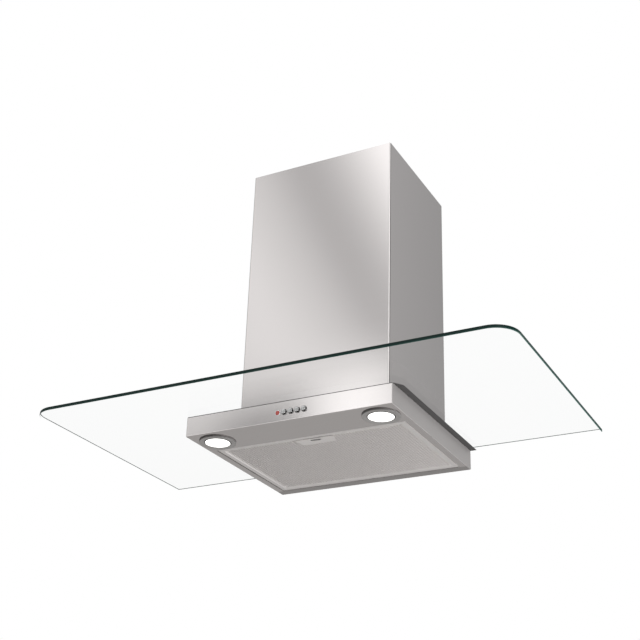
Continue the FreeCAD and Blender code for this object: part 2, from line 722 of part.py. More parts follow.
# ---------------------------------------------------------------- blower


def blower_half(name, side):
    """One half of the plastic blower housing, split on the plane x = 0."""
    body = new_body(f"blower_housing_{name}")
    round_part = disc(AXIS_Y, AXIS_Z, HOUSING)
    low, high = f"({AXIS_Y} - outlet_side)", f"({AXIS_Y} + outlet_side)"
    outer, inner = span("0", HALF_BLOWER, side), span(f"-{OUT}", f"({HALF_BLOWER} - housing_wall)", side)
    add(body, "YZ", *outer, round_part)
    add(body, "YZ", *outer, rect(low, high, AXIS_Z, OUTLET))
    remove(body, "YZ", *inner, disc(AXIS_Y, AXIS_Z, f"{HOUSING} - housing_wall"))
    remove(body, "YZ", *inner, rect(f"{low} + housing_wall", f"{high} - housing_wall", AXIS_Z,
                                    f"{OUTLET} - housing_wall"))
    through = span(f"-{OUT}", f"({HALF_BLOWER} + {OUT})", side)
    remove(body, "YZ", *through, disc(AXIS_Y, AXIS_Z, "inlet_radius"))
    remove(body, "XY", f"{OUTLET} - housing_wall - {OUT}", f"{OUTLET} + {OUT}",
           disc("0", AXIS_Y, "collar_radius - collar_wall"))
    web = span(f"({HALF_BLOWER} - 2*housing_wall)", HALF_BLOWER, side)
    foot = span(f"({HALF_BLOWER} - 2*housing_wall)", f"({HALF_BLOWER} + tab_reach)", side)
    walls = (f"({AXIS_Y} + {HOUSING} - housing_wall/2)", f"({AXIS_Y} + outlet_side - housing_wall/2)")
    for z, wall in zip(TAB_Z, walls):
        stretch = (f"{z} - tab_height/2", f"{z} + tab_height/2")
        add(body, "XZ", wall, "-plate_sheet", rect(*web, *stretch))
        add(body, "XZ", "-plate_sheet - tab_thick", "-plate_sheet", rect(*foot, *stretch))
        remove(body, "XZ", f"-plate_sheet - tab_thick - {OUT}", "-plate_sheet",
               disc(mirrored(TAB_X, side), z, "screw_radius + screw_gap"))
    return keep(body, f"blower_housing_{name}")


def wheel(outer, inner, x, thick):
    """A flat ring round the blower's axis."""
    return cut(rod("X", x, AXIS_Y, AXIS_Z, outer, thick),
               rod("X", f"{x} - {OUT}", AXIS_Y, AXIS_Z, inner, f"{thick} + 2*{OUT}"))


def turned_about_axis(shape, angle):
    """Turns a finished shape about the blower's axis."""
    holder = doc.addObject("Part::Compound", "turned")
    holder.Links = [shape]
    radians = math.radians(angle)
    holder.Placement.Rotation = FreeCAD.Rotation(V(1, 0, 0), angle)
    cosine, sine = repr(round(math.cos(radians), 9)), repr(round(math.sin(radians), 9))
    bind(holder, "Placement.Base.y", f"{AXIS_Y} - {AXIS_Y}*{cosine} + {AXIS_Z}*{sine}")
    bind(holder, "Placement.Base.z", f"{AXIS_Z} - {AXIS_Y}*{sine} - {AXIS_Z}*{cosine}")
    return holder


ARMS = (90, 210, 330)
RING_MIDDLE = "(inlet_radius + spider_ring/2)"
MOTOR_END = f"(-{HALF_BLOWER} - mount_thick)"


def motor_spider():
    """Ring on the left inlet with three arms that carry the motor."""
    face = f"({MOTOR_END} - spider_thick)"
    ring = wheel("inlet_radius + spider_ring", "inlet_radius", face, "spider_thick")
    hub = rod("X", face, AXIS_Y, AXIS_Z, "motor_radius - 2*mount_radius", "spider_thick")
    arms = [turned_about_axis(block((face, f"{face} + spider_thick"),
                                    (f"{AXIS_Y} - arm_width/2", f"{AXIS_Y} + arm_width/2"),
                                    (AXIS_Z, f"{AXIS_Z} + {RING_MIDDLE}")), angle)
            for angle in ARMS]
    return keep(fuse(ring, hub, *arms), "motor_spider")


def motor_mounts():
    cushions = [turned_about_axis(rod("X", MOTOR_END, AXIS_Y, f"{AXIS_Z} + {RING_MIDDLE}",
                                      "mount_radius", "mount_thick"), angle)
                for angle in ARMS]
    return keep(group(*cushions), "motor_mounts")


def motor():
    """Motor with a shaft boss, held at its left end by the spider."""
    boss = "(-motor_front + rim_thick)"
    drum = rod("X", MOTOR_END, AXIS_Y, AXIS_Z, "motor_radius", f"-motor_front*2 - {MOTOR_END}")
    nose = rod("X", MOTOR_END, AXIS_Y, AXIS_Z, "hub_radius", f"{boss} - {MOTOR_END}")
    bore = rod("X", f"{boss} - shaft_grip - {OUT}", AXIS_Y, AXIS_Z, "shaft_radius + shaft_gap",
               f"shaft_grip + 2*{OUT}")
    keep(cut(fuse(drum, nose), bore), "motor")
    low = f"({boss} - shaft_grip)"
    shaft = rod("X", low, AXIS_Y, AXIS_Z, "shaft_radius", f"hub_length + shaft_end - {low}")
    keep(shaft, "motor_shaft")
    nut = rod("X", "hub_length", AXIS_Y, AXIS_Z, "2*shaft_radius", "shaft_end - rim_thick",
              "Part::Prism")
    thread = rod("X", f"hub_length - {OUT}", AXIS_Y, AXIS_Z, "shaft_radius + shaft_gap/2",
                 f"shaft_end + {OUT}")
    keep(cut(nut, thread), "impeller_nut")


def impeller():
    """Double-inlet drum: a middle disc, two rims and forward-leaning blades."""
    body = new_body("impeller")
    bind(body, "Placement.Base.y", AXIS_Y)
    centre = disc("0", "0", "impeller_radius")
    end = f"({HALF_BLOWER} - housing_wall - impeller_end)"
    bore = disc("0", "0", "shaft_radius + shaft_gap/2")
    add(body, "YZ", "0", "rim_thick", centre)
    add(body, "YZ", "0", "hub_length", disc("0", "0", "hub_radius"))
    remove(body, "YZ", f"-{OUT}", f"hub_length + {OUT}", bore)
    outer, inner = "(impeller_radius - rim_thick/2)", "(impeller_radius - blade_depth)"
    lean = "(blade_depth/2)"
    blade = [(f"-{lean}", inner), (f"blade_thick - {lean}", inner),
             (f"blade_thick + {lean}/2", outer), (f"{lean}/2", outer)]
    vane = add(body, "YZ", f"-{end}", end, blade)
    doc.recompute()
    pattern = body.newObject("PartDesign::PolarPattern", "blades")
    pattern.Originals = [vane]
    pattern.Axis = (origin_feature(body, "X_Axis"), [""])
    pattern.Angle = 360
    bind(pattern, "Occurrences", "blade_count")
    body.Tip = pattern
    inner_ring = disc("0", "0", "impeller_radius - blade_depth")
    add(body, "YZ", f"{end} - rim_thick", end, centre, inner_ring)
    add(body, "YZ", f"-{end}", f"rim_thick - {end}", centre, inner_ring)
    bind(body, "Placement.Base.z", AXIS_Z)
    return keep(body, "impeller")


def inlet_guard():
    """Ring with crossed bars over the right inlet."""
    ring = wheel("inlet_radius + spider_ring", "inlet_radius", HALF_BLOWER, "guard_bar")
    inner = wheel("inlet_radius/2 + guard_bar", "inlet_radius/2", HALF_BLOWER, "guard_bar")
    bars = [turned_about_axis(block((HALF_BLOWER, f"{HALF_BLOWER} + guard_bar"),
                                    (f"{AXIS_Y} - guard_bar/2", f"{AXIS_Y} + guard_bar/2"),
                                    (f"{AXIS_Z} - {RING_MIDDLE}", f"{AXIS_Z} + {RING_MIDDLE}")), angle)
            for angle in (0, 45, 90, 135)]
    return keep(fuse(ring, inner, *bars), "inlet_guard")


# ---------------------------------------------------------------- outlet collar and flaps


def outlet_collar():
    body = new_body("outlet_collar")
    bind(body, "Placement.Base.y", AXIS_Y)
    bore = "(collar_radius - collar_wall)"
    seat_low = "(seat_height - collar_wall)"
    seat = f"({bore} - seat_width)"
    revolve(body, [(bore, "0"), ("collar_radius + collar_flange", "0"),
                   ("collar_radius + collar_flange", "collar_wall"), ("collar_radius", "collar_wall"),
                   ("collar_radius", "collar_height"), (bore, "collar_height"),
                   (bore, "seat_height"), (seat, "seat_height"), (seat, seat_low), (bore, seat_low)])
    past = "(collar_radius + collar_flange)"
    remove(body, "YZ", f"-{past}", past,
           disc("0", "seat_height + rest_gap + flap_thick/2", "spindle_radius + seat_gap/4"))
    bind(body, "Placement.Base.z", OUTLET)
    return keep(body, "outlet_collar")


def damper_spindle():
    return keep(rod("X", "(rest_gap - collar_radius)", AXIS_Y, SPINDLE, "spindle_radius",
                    "2*(collar_radius - rest_gap)"), "damper_spindle")


KNUCKLES = 3  # on each flap, between those of the other


def damper_flap(name, side):
    """Half a disc that turns on the spindle; its knuckles alternate with the other flap's."""
    radius = "(collar_radius - collar_wall - flap_rim_gap)"
    low = f"({SPINDLE} - flap_thick/2)"
    plate = rod("Z", "0", AXIS_Y, low, radius, "flap_thick")
    edge = mirrored("flap_split", side)
    past = mirrored("(2*collar_radius)", -side)
    strip = (past, edge) if side > 0 else (edge, past)
    strip = tuple(f"{AXIS_Y} + {value}" for value in strip)
    away = block((f"-{radius} - {OUT}", f"{radius} + {OUT}"), strip,
                 (f"{low} - {OUT}", f"{low} + flap_thick + {OUT}"))
    leaf = cut(plate, away)
    sleeves, arms = [], []
    knuckle_radius = "(spindle_radius + knuckle_wall)"
    for number in range(KNUCKLES):
        step = 2 * number - KNUCKLES + (0.5 if side > 0 else -0.5) + 0.5
        start = f"({step}*(knuckle_length + rest_gap) + rest_gap)"
        sleeves.append(rod("X", start, AXIS_Y, SPINDLE, knuckle_radius, "knuckle_length"))
        reach = (f"{AXIS_Y}", f"{AXIS_Y} + flap_split + knuckle_wall") if side > 0 else (
            f"{AXIS_Y} - flap_split - knuckle_wall", f"{AXIS_Y}")
        arms.append(block((start, f"{start} + knuckle_length"), reach,
                          (low, f"{low} + flap_thick")))
    bore = rod("X", f"-{radius}", AXIS_Y, SPINDLE, "spindle_radius + shaft_gap", f"2*{radius}")
    return keep(cut(fuse(leaf, *sleeves, *arms), bore), f"damper_flap_{name}")


# ---------------------------------------------------------------- electrical pieces

BOX_LOW = f"({OUTLET} + plate_head/8)"
BOX_REAR = "(-plate_sheet)"
BOX_FRONT = "(-plate_sheet - terminal_depth)"


def terminal_box():
    half = "(terminal_width/2)"
    lid_face = f"({BOX_FRONT} + terminal_wall)"
    top = f"({BOX_LOW} + terminal_height)"
    tub = block((f"-{half}", half), (lid_face, BOX_REAR), (BOX_LOW, top))
    hollow = block((f"-{half} + terminal_wall", f"{half} - terminal_wall"),
                   (f"{lid_face} - {OUT}", f"{BOX_REAR} - terminal_wall"),
                   (f"{BOX_LOW} + terminal_wall", f"{top} - terminal_wall"))
    way = rod("Z", GLAND_X, GLAND_Y, f"{top} - terminal_wall - {OUT}",
              "gland_radius/1.6 + bolt_gap", f"terminal_wall + 2*{OUT}")
    keep(cut(tub, hollow, way), "terminal_box")
    lid = block((f"-{half}", half), (BOX_FRONT, lid_face), (BOX_LOW, top))
    keep(lid, "terminal_box_lid")
    inside = f"({top} - 2*terminal_wall)"
    thread = rod("Z", GLAND_X, GLAND_Y, inside, "gland_radius/1.6", "3*terminal_wall")
    cap = rod("Z", GLAND_X, GLAND_Y, top, "gland_radius", "gland_height/2", "Part::Prism")
    nose = rod("Z", GLAND_X, GLAND_Y, top, "gland_radius/1.25", "gland_height")
    bore = rod("Z", GLAND_X, GLAND_Y, f"{inside} - {OUT}", "gland_bore", f"2*gland_height")
    keep(cut(fuse(thread, cap, nose), bore), "cable_gland")


GLAND_X = "(terminal_width/4)"
GLAND_Y = "(-plate_sheet - terminal_depth/2)"


def capacitor():
    start = "(-terminal_width/2 - capacitor_radius - capacitor_length)"
    middle = f"({BOX_LOW} + capacitor_radius)"
    can = rod("X", start, "-plate_sheet - capacitor_radius - 2*seat_gap", middle,
              "capacitor_radius", "capacitor_length")
    foot = block((f"{start} + capacitor_radius", f"{start} + capacitor_length - capacitor_radius"),
                 ("-plate_sheet - capacitor_radius", "-plate_sheet"),
                 (f"{middle} - capacitor_radius/2", f"{middle} + capacitor_radius/2"))
    return keep(fuse(can, foot), "capacitor")


SWITCH_LOW_X = f"({control_x(0)} - switch_margin)"
SWITCH_HIGH_X = f"({control_x(BUTTONS)} + switch_margin)"


def lamp_transformer():
    """Between the left lamp and the switch block."""
    middle = f"(({SWITCH_LOW_X} - {LAMP_X} + lens_radius)/2)"
    case = block((f"{middle} - transformer_width/2", f"{middle} + transformer_width/2"),
                 (f"{LAMP_Y} - transformer_depth/2", f"{LAMP_Y} + transformer_depth/2"),
                 (FLOOR, f"{FLOOR} + transformer_height"))
    return keep(case, "lamp_transformer")


# ---------------------------------------------------------------- controls

BUTTON_FACE = "(-body_depth - button_proud)"
BUTTON_BACK = f"({BUTTON_FACE} + button_length)"
SPRING_END = f"({BUTTON_BACK} + spring_length)"
STEM_END = f"({BUTTON_BACK} + stem_length)"


def switch_block():
    front = FRONT_IN
    low = "(-control_drop - switch_height/2)"
    case = block((SWITCH_LOW_X, SWITCH_HIGH_X), (front, f"{front} + switch_depth"),
                 (low, f"{low} + switch_height"))
    bores = [rod("Y", control_x(0), f"{front} - {OUT}", "-control_drop",
                 "pilot_radius + button_gap", f"button_length + {OUT}")]
    for number in range(1, BUTTONS + 1):
        x = control_x(number)
        bores.append(rod("Y", x, f"{front} - {OUT}", "-control_drop", "button_radius + button_gap",
                         f"{SPRING_END} - {front} + {OUT}"))
        bores.append(rod("Y", x, front, "-control_drop", "stem_radius + button_gap",
                         f"{STEM_END} + button_travel + rest_gap - {front}"))
    return keep(cut(case, *bores), "switch_block")


def push_button(number):
    x = control_x(number)
    body = new_body(f"button_{number}")
    revolve(body, [("0", "0"), ("button_radius", "0"), ("button_radius", "button_length"),
                   ("stem_radius", "button_length"), ("stem_radius", "button_length + stem_length"),
                   ("0", "button_length + stem_length")])
    body.Placement.Rotation = FreeCAD.Rotation(V(1, 0, 0), -90)
    bind(body, "Placement.Base.x", x)
    bind(body, "Placement.Base.y", BUTTON_FACE)
    bind(body, "Placement.Base.z", "-control_drop")
    return keep(body, f"button_{number}")


def coil(label, x, start, z, radius, length, turns):
    """A compression spring of whole turns along Y from start to start + length."""
    helix = doc.addObject("Part::Helix", "helix")
    bind(helix, "Radius", radius)
    bind(helix, "Height", f"{length} - spring_wire")
    bind(helix, "Pitch", f"({length} - spring_wire)/{turns}")
    helix.SegmentLength = 1  # one edge for each turn
    wire = doc.addObject("Part::Circle", "wire")
    bind(wire, "Radius", "spring_wire/2")
    bind(wire, "Placement.Base.x", radius)
    wire.Placement.Rotation = FreeCAD.Rotation(V(1, 0, 0), 90)
    spring = doc.addObject("Part::Sweep", "spring")
    spring.Sections = [wire]
    spring.Spine = (helix, [f"Edge{number}" for number in range(1, turns + 1)])
    spring.Solid = True
    spring.Frenet = True
    spring.Placement.Rotation = FreeCAD.Rotation(V(1, 0, 0), -90)
    bind(spring, "Placement.Base.x", x)
    bind(spring, "Placement.Base.y", f"{start} + spring_wire/2")
    bind(spring, "Placement.Base.z", z)
    return keep(spring, label)


def controls():
    switch_block()
    for number in range(1, BUTTONS + 1):
        push_button(number)
        coil(f"button_spring_{number}", control_x(number), BUTTON_BACK, "(-control_drop)",
             "(stem_radius + spring_wire)", "spring_length", 4)
    lens = rod("Y", control_x(0), f"{FRONT} - pilot_proud", "-control_drop", "pilot_radius",
               "pilot_proud + body_sheet + button_length")
    keep(lens, "pilot_lens")


# ---------------------------------------------------------------- lamps


def lamp_place(body, label, side):
    bind(body, "Placement.Base.x", mirrored(LAMP_X, side))
    bind(body, "Placement.Base.y", LAMP_Y)
    bind(body, "Placement.Base.z", UNDERSIDE)
    return keep(body, label)


def lamp(name, side):
    """Ring, lens, housing and bulb; heights are from the body's underside."""
    lip = "(lens_radius - lens_lap)"
    seat = "(lens_radius + lamp_gap)"
    collar = "(lens_radius + collar_width)"
    lens_low = "(-ring_drop + ring_lip)"
    ring = new_body(f"lamp_ring_{name}")
    revolve(ring, [(lip, "-ring_drop"), ("ring_radius - ring_drop/2", "-ring_drop"),
                   ("ring_radius", "-ring_drop/2"), ("ring_radius", "0"), (collar, "0"),
                   (collar, "body_sheet"), (seat, "body_sheet"), (seat, lens_low), (lip, lens_low)])
    lamp_place(ring, f"lamp_ring_{name}", side)
    lens = new_body(f"lamp_lens_{name}")
    revolve(lens, [("0", lens_low), ("lens_radius", lens_low),
                   ("lens_radius", f"{lens_low} + lens_thick"), ("0", f"{lens_low} + lens_thick")])
    lamp_place(lens, f"lamp_lens_{name}", side)
    cup_top = "(body_sheet + cup_height)"
    flange = f"({collar} + cup_wall)"
    housing = new_body(f"lamp_housing_{name}")
    revolve(housing, [(seat, "body_sheet"), (flange, "body_sheet"),
                      (flange, "body_sheet + cup_flange"),
                      (f"{seat} + cup_wall", "body_sheet + cup_flange"),
                      (f"{seat} + cup_wall", cup_top), ("0", cup_top),
                      ("0", f"{cup_top} - cup_wall"), (seat, f"{cup_top} - cup_wall")])
    lamp_place(housing, f"lamp_housing_{name}", side)
    socket = f"({cup_top} - cup_wall)"
    bulb = new_body(f"lamp_bulb_{name}")
    revolve(bulb, [("0", socket), ("bulb_radius", socket), ("bulb_radius", f"{socket} - bulb_base"),
                   ("bulb_radius - cup_wall", f"{socket} - bulb_base"),
                   ("bulb_radius - cup_wall", f"{socket} - bulb_length + bulb_radius/2"),
                   ("bulb_radius/2", f"{socket} - bulb_length"), ("0", f"{socket} - bulb_length")])
    lamp_place(bulb, f"lamp_bulb_{name}", side)


# ---------------------------------------------------------------- grease filter

PIVOT_Y = f"({FILTER_REAR} - pivot_inset)"
PIVOT_Z = f"({FILTER_LOW} + pivot_inset)"
MESH_LOW = f"({FILTER_LOW} + (filter_thick - mesh_thick)/2)"
LATCH_FRONT = f"({FILTER_FRONT} + filter_bar)"
LATCH_REAR = f"({LATCH_FRONT} + latch_depth)"
TONGUE_LOW = f"({FLOOR} + rest_gap)"
SLIDER_HALF = "(tongue_width/2)"
BOX_HALF = "(latch_box_width/2)"
SLIDER_FRONT = f"({LATCH_FRONT} + slot_setback + rest_gap)"
SLIDER_REAR = f"({SLIDER_FRONT} + finger_thick)"
LATCH_BOX_REAR = f"({LATCH_REAR} - latch_sheet)"
LATCH_LID = f"({MESH_LOW} + mesh_thick - latch_sheet)"


def filter_frame():
    body = new_body("filter_frame")
    inner = f"({FILTER_HALF} - filter_bar)"
    mesh = f"({inner} + mesh_grip)"
    add(body, "XY", FILTER_LOW, FILTER_TOP, rect(f"-{FILTER_HALF}", FILTER_HALF, FILTER_FRONT, FILTER_REAR))
    remove(body, "XY", f"{FILTER_LOW} - {OUT}", f"{FILTER_TOP} + {OUT}",
           rect(f"-{inner}", inner, LATCH_FRONT, f"{FILTER_REAR} - filter_bar"))
    remove(body, "XY", MESH_LOW, f"{MESH_LOW} + mesh_thick",
           rect(f"-{mesh}", mesh, f"{LATCH_FRONT} - mesh_grip", f"{FILTER_REAR} - filter_bar + mesh_grip"))
    way = f"({SLIDER_HALF} + rest_gap)"
    remove(body, "XZ", f"{FILTER_FRONT} - {OUT}", f"{LATCH_FRONT} + {OUT}",
           rect(f"latch_offset - {way}", f"latch_offset + {way}", f"{TONGUE_LOW} - rest_gap",
                f"{TONGUE_LOW} + tongue_thick + rest_gap"))
    for name, side in SIDES:
        add(body, "YZ", *span(f"({FILTER_HALF} - pivot_radius)", f"({FILTER_HALF} + pivot_length)", side),
            disc(PIVOT_Y, PIVOT_Z, "pivot_radius"))
    return keep(body, "filter_frame")


def filter_mesh():
    body = new_body("filter_mesh")
    half = f"({FILTER_HALF} - filter_bar + mesh_grip)"
    front = f"({LATCH_FRONT} - mesh_grip)"
    rear = f"({FILTER_REAR} - filter_bar + mesh_grip)"
    add(body, "XY", MESH_LOW, f"{MESH_LOW} + mesh_thick", rect(f"-{half}", half, front, rear))
    room = f"({BOX_HALF} + seat_gap)"
    remove(body, "XY", f"{MESH_LOW} - {OUT}", f"{MESH_LOW} + mesh_thick + {OUT}",
           rect(f"latch_offset - {room}", f"latch_offset + {room}", f"{front} - {OUT}",
                f"{LATCH_REAR} + seat_gap"))
    return keep(body, "filter_mesh")


def latch_plate():
    """Tapered plate below the mesh with a finger slot, and the box behind it for the latch."""
    body = new_body("latch_plate")
    low, top = f"({FILTER_LOW} - latch_sheet/2)", f"({FILTER_LOW} + latch_sheet/2)"
    wide, narrow = "(latch_front_width/2)", "(latch_rear_width/2)"
    front = LATCH_FRONT
    outline = [("latch_offset - " + wide, front), ("latch_offset + " + wide, front),
               ("latch_offset + " + narrow, LATCH_REAR), ("latch_offset - " + narrow, LATCH_REAR)]
    add(body, "XY", low, top, outline)
    lid = f"({LATCH_LID} + latch_sheet)"
    left, right = f"(latch_offset - {BOX_HALF})", f"(latch_offset + {BOX_HALF})"
    add(body, "XY", f"{FILTER_LOW}", lid, rect(left, right, front, LATCH_REAR))
    remove(body, "XY", top, LATCH_LID,
           rect(f"{left} + latch_sheet", f"{right} - latch_sheet", f"{front} - {OUT}", LATCH_BOX_REAR))
    slot_front = f"({LATCH_FRONT} + slot_setback)"
    remove(body, "XY", f"{low} - {OUT}", f"{top} + latch_sheet/4",
           rect("latch_offset - slot_width/2", "latch_offset + slot_width/2", slot_front,
                f"{slot_front} + slot_depth"))
    return keep(body, "latch_plate")


def filter_latch():
    """Sliding tongue with a finger tab that shows in the slot."""
    across = (f"latch_offset - {SLIDER_HALF}", f"latch_offset + {SLIDER_HALF}")
    tongue = block(across, (f"{FILTER_FRONT} - tongue_reach", SLIDER_REAR),
                   (TONGUE_LOW, f"{TONGUE_LOW} + tongue_thick"))
    tab = block(across, (SLIDER_FRONT, SLIDER_REAR),
                (f"{FILTER_LOW} - latch_sheet/2", f"{LATCH_LID} - rest_gap"))
    keep(fuse(tongue, tab), "filter_latch")
    radius = "(tongue_thick/2 + spring_wire)"
    coil("latch_spring", "latch_offset", SLIDER_REAR, f"({LATCH_LID} - {radius} - spring_wire)",
         radius, f"({LATCH_BOX_REAR} - {SLIDER_REAR})", 8)


def filter_clips():
    """Two eyes on the body's floor in which the filter's pivots turn."""
    clips = []
    for name, side in SIDES:
        x = span(f"({FILTER_HALF} + filter_gap + rest_gap)",
                 f"({FILTER_HALF} + filter_gap + rest_gap + clip_width)", side)
        reach = "(pivot_radius + clip_wall)"
        eye = block(x, (f"{PIVOT_Y} - {reach}", f"{PIVOT_Y} + {reach}"), (FLOOR, f"{PIVOT_Z} + {reach}"))
        hole = rod("X", f"({x[0]}) - {OUT}", PIVOT_Y, PIVOT_Z, "pivot_radius + shaft_gap",
                   f"clip_width + 2*{OUT}")
        clips.append(cut(eye, hole))
    return keep(group(*clips), "filter_clips")


# ---------------------------------------------------------------- the whole hood


def build():
    wall_plate()
    canopy_shell()
    top_plate()
    front_bulkhead()
    glass_canopy()
    glass_seal()
    for name, side in SIDES:
        glass_rail(name, side)
        blower_half(name, side)
        lamp(name, side)
    glass_fixings()
    chimneys()
    chimney_bracket()
    sheet_screws()
    motor_spider()
    motor_mounts()
    motor()
    impeller()
    inlet_guard()
    outlet_collar()
    damper_spindle()
    damper_flap("front", -1)
    damper_flap("rear", 1)
    terminal_box()
    capacitor()
    lamp_transformer()
    controls()
    filter_frame()
    filter_mesh()
    latch_plate()
    filter_latch()
    filter_clips()
    doc.recompute()


def check():
    """Stops before anything is written if a feature failed or a piece isn't a valid solid."""
    for obj in doc.Objects:
        if "Invalid" in obj.State or "Error" in obj.State:
            raise RuntimeError(f"{obj.Name} failed: {obj.State}")
    for piece in pieces:
        if piece.Shape.isNull() or not piece.Shape.isValid() or not piece.Shape.Solids:
            raise RuntimeError(f"{piece.Label} has no valid solid")


def export():
    os.makedirs("parts", exist_ok=True)
    for piece in pieces:
        piece.Shape.exportStep(f"parts/{piece.Label}.step")


build()
check()
export()
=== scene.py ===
import math

import bmesh
import bpy
from bpy.props import FloatProperty, FloatVectorProperty, IntProperty, PointerProperty
from mathutils import Matrix, Vector


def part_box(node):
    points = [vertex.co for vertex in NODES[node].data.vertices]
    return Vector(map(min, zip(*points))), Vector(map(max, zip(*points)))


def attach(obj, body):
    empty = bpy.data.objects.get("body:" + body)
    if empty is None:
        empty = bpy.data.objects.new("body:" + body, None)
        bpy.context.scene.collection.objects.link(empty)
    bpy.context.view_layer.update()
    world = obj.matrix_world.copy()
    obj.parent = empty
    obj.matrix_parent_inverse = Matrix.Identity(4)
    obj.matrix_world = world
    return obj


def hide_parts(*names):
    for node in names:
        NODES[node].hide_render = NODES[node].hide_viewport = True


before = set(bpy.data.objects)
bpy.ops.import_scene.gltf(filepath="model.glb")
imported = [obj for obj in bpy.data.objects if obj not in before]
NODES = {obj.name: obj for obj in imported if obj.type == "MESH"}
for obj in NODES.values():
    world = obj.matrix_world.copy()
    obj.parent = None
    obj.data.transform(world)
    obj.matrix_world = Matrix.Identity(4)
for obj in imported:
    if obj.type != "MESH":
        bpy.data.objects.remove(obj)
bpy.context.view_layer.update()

bl_info = {
    "name": "Glass Range Hood",
    "version": (1, 0, 0),
    "blender": (4, 5, 0),
    "location": "3D View > Sidebar > Range Hood",
    "description": "Finishes and fine pieces for a wall-mounted range hood with a flat glass canopy",
    "category": "Object",
}

MM = 0.001


# ---------------------------------------------------------------- places, from the frame

def low(node):
    """Lowest corner of a node at rest."""
    return Vector(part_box(node)[0])


def high(node):
    """Highest corner of a node at rest."""
    return Vector(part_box(node)[1])


def middle(node):
    """Middle of a node's box at rest."""
    return (low(node) + high(node)) / 2


def radius_of(node):
    """Radius of a round node whose axis is square to x."""
    return (high(node).x - low(node).x) / 2


BUTTONS = ("button_1", "button_2", "button_3", "button_4")
UPWARD = (0, 0, 1)
INWARD = (0, 1, 0)

GLASS_LOW = low("glass_canopy").z
GLASS_TOP = high("glass_canopy").z
BODY_FRONT = low("canopy_shell").y
BODY_BOTTOM = low("canopy_shell").z
BODY_SIDE = high("canopy_shell").x

# sizes of the CAD solids that their boxes don't show
GLASS_FOOT = 12 * MM        # the chimney cover stands this far in on the pane
NOTCH_HALF = high("chimney_cover").x - GLASS_FOOT
NOTCH_FRONT = low("chimney_cover").y + GLASS_FOOT
BOLT_HEAD = 5.5 * MM        # radius of a bolt's head
BUTTON_HEAD = 9 * MM        # length of a button behind its face
BUTTON_STEM = 1.6 * MM      # radius of the rod behind it
SIDE_BORDER = 15 * MM       # the body's bottom beside the filter
PIVOT_INSET = 3 * MM        # from the filter frame's rear and bottom to the pivots' axis
PIVOT_RADIUS = 1.5 * MM
LATCH_SHEET = 1 * MM
LATCH_TAPER = 6 * MM        # each side of the latch plate comes in by this towards its rear
LATCH_CORNER = 5 * MM
LATCH_BOX_HALF = 20 * MM    # half the width of the box that holds the tongue
SLOT_HALF = 10.5 * MM       # half the width of the finger slot
SLOT_SETBACK = 3 * MM
SLOT_REAR = 9.5 * MM        # from the plate's front to the slot's rear
SLOT_CORNER = 3 * MM

# the expanded sheet on the filter
MESH_TRIM = 3.6 * MM        # its edge stays this far inside the mesh pack's
MESH_DROP = 0.55 * MM       # from the mesh pack's underside down to the strands'
MESH_THICKNESS = 0.4 * MM
STRAND_TILT = 0.6           # each strand rises or falls by this share of its thickness
MESH_PLAY = 1 * MM          # between it and the latch's box
MESH_REAR_PLAY = 0.2 * MM

# how near counts as the same
LEVEL = 0.01 * MM
MERGE = 0.001 * MM
CUT = 0.0001 * MM
SHARP_ANGLE = 1.2


# ---------------------------------------------------------------- settings

class HoodSizes(bpy.types.PropertyGroup):
    """Sizes of the fine pieces"""

    arris: FloatProperty(
        name="Arris", description="Ground edge of the glass", default=0.0009, unit="LENGTH")
    glass_corner: FloatProperty(
        name="Glass corner", description="Radius of the front corners", default=0.042, unit="LENGTH")
    notch_corner: FloatProperty(
        name="Notch corner", description="Radius of the inner corners behind the chimney",
        default=0.012, unit="LENGTH")
    bolt_hole: FloatProperty(
        name="Bolt hole", description="Radius of the holes in the glass", default=0.0062, unit="LENGTH")
    mesh_pitch: FloatProperty(
        name="Mesh pitch", description="Width of one cell of the expanded mesh", default=0.0056,
        unit="LENGTH")
    mesh_rise: FloatProperty(
        name="Mesh rise", description="Depth of one cell of the expanded mesh", default=0.0034,
        unit="LENGTH")
    strand: FloatProperty(
        name="Strand", description="Width of the strands of the mesh", default=0.0009, unit="LENGTH")
    frame_bar: FloatProperty(
        name="Frame bar", description="Width of the filter's frame", default=0.0126, unit="LENGTH")


class HoodColours(bpy.types.PropertyGroup):
    """Colours of the finishes"""

    steel: FloatVectorProperty(
        name="Steel", description="Brushed steel of the body and chimney",
        default=(0.62, 0.594, 0.588), subtype="COLOR")
    zinc: FloatVectorProperty(
        name="Zinc", description="Galvanised sheet", default=(0.52, 0.54, 0.56), subtype="COLOR")
    rail: FloatVectorProperty(
        name="Rail", description="Paint of the glass rails", default=(0.032, 0.031, 0.031),
        subtype="COLOR")
    glass_edge: FloatVectorProperty(
        name="Glass edge", description="Edge of the float glass", default=(0.02, 0.075, 0.062),
        subtype="COLOR")
    arris: FloatVectorProperty(
        name="Arris", description="Ground face along the upper edge of the glass",
        default=(0.085, 0.10, 0.096), subtype="COLOR")
    filter_frame: FloatVectorProperty(
        name="Filter frame", description="Aluminium of the filter's frame",
        default=(0.93, 0.905, 0.895), subtype="COLOR")
    filter_mesh: FloatVectorProperty(
        name="Filter mesh", description="Aluminium of the expanded sheet",
        default=(0.92, 0.90, 0.89), subtype="COLOR")
    latch: FloatVectorProperty(
        name="Latch", description="Steel of the latch plate", default=(0.95, 0.925, 0.915),
        subtype="COLOR")
    pilot: FloatVectorProperty(
        name="Pilot", description="Lens of the pilot light", default=(0.40, 0.022, 0.010),
        subtype="COLOR")
    floor: FloatVectorProperty(
        name="Floor", description="Studio floor", default=(0.55, 0.54, 0.53), subtype="COLOR")


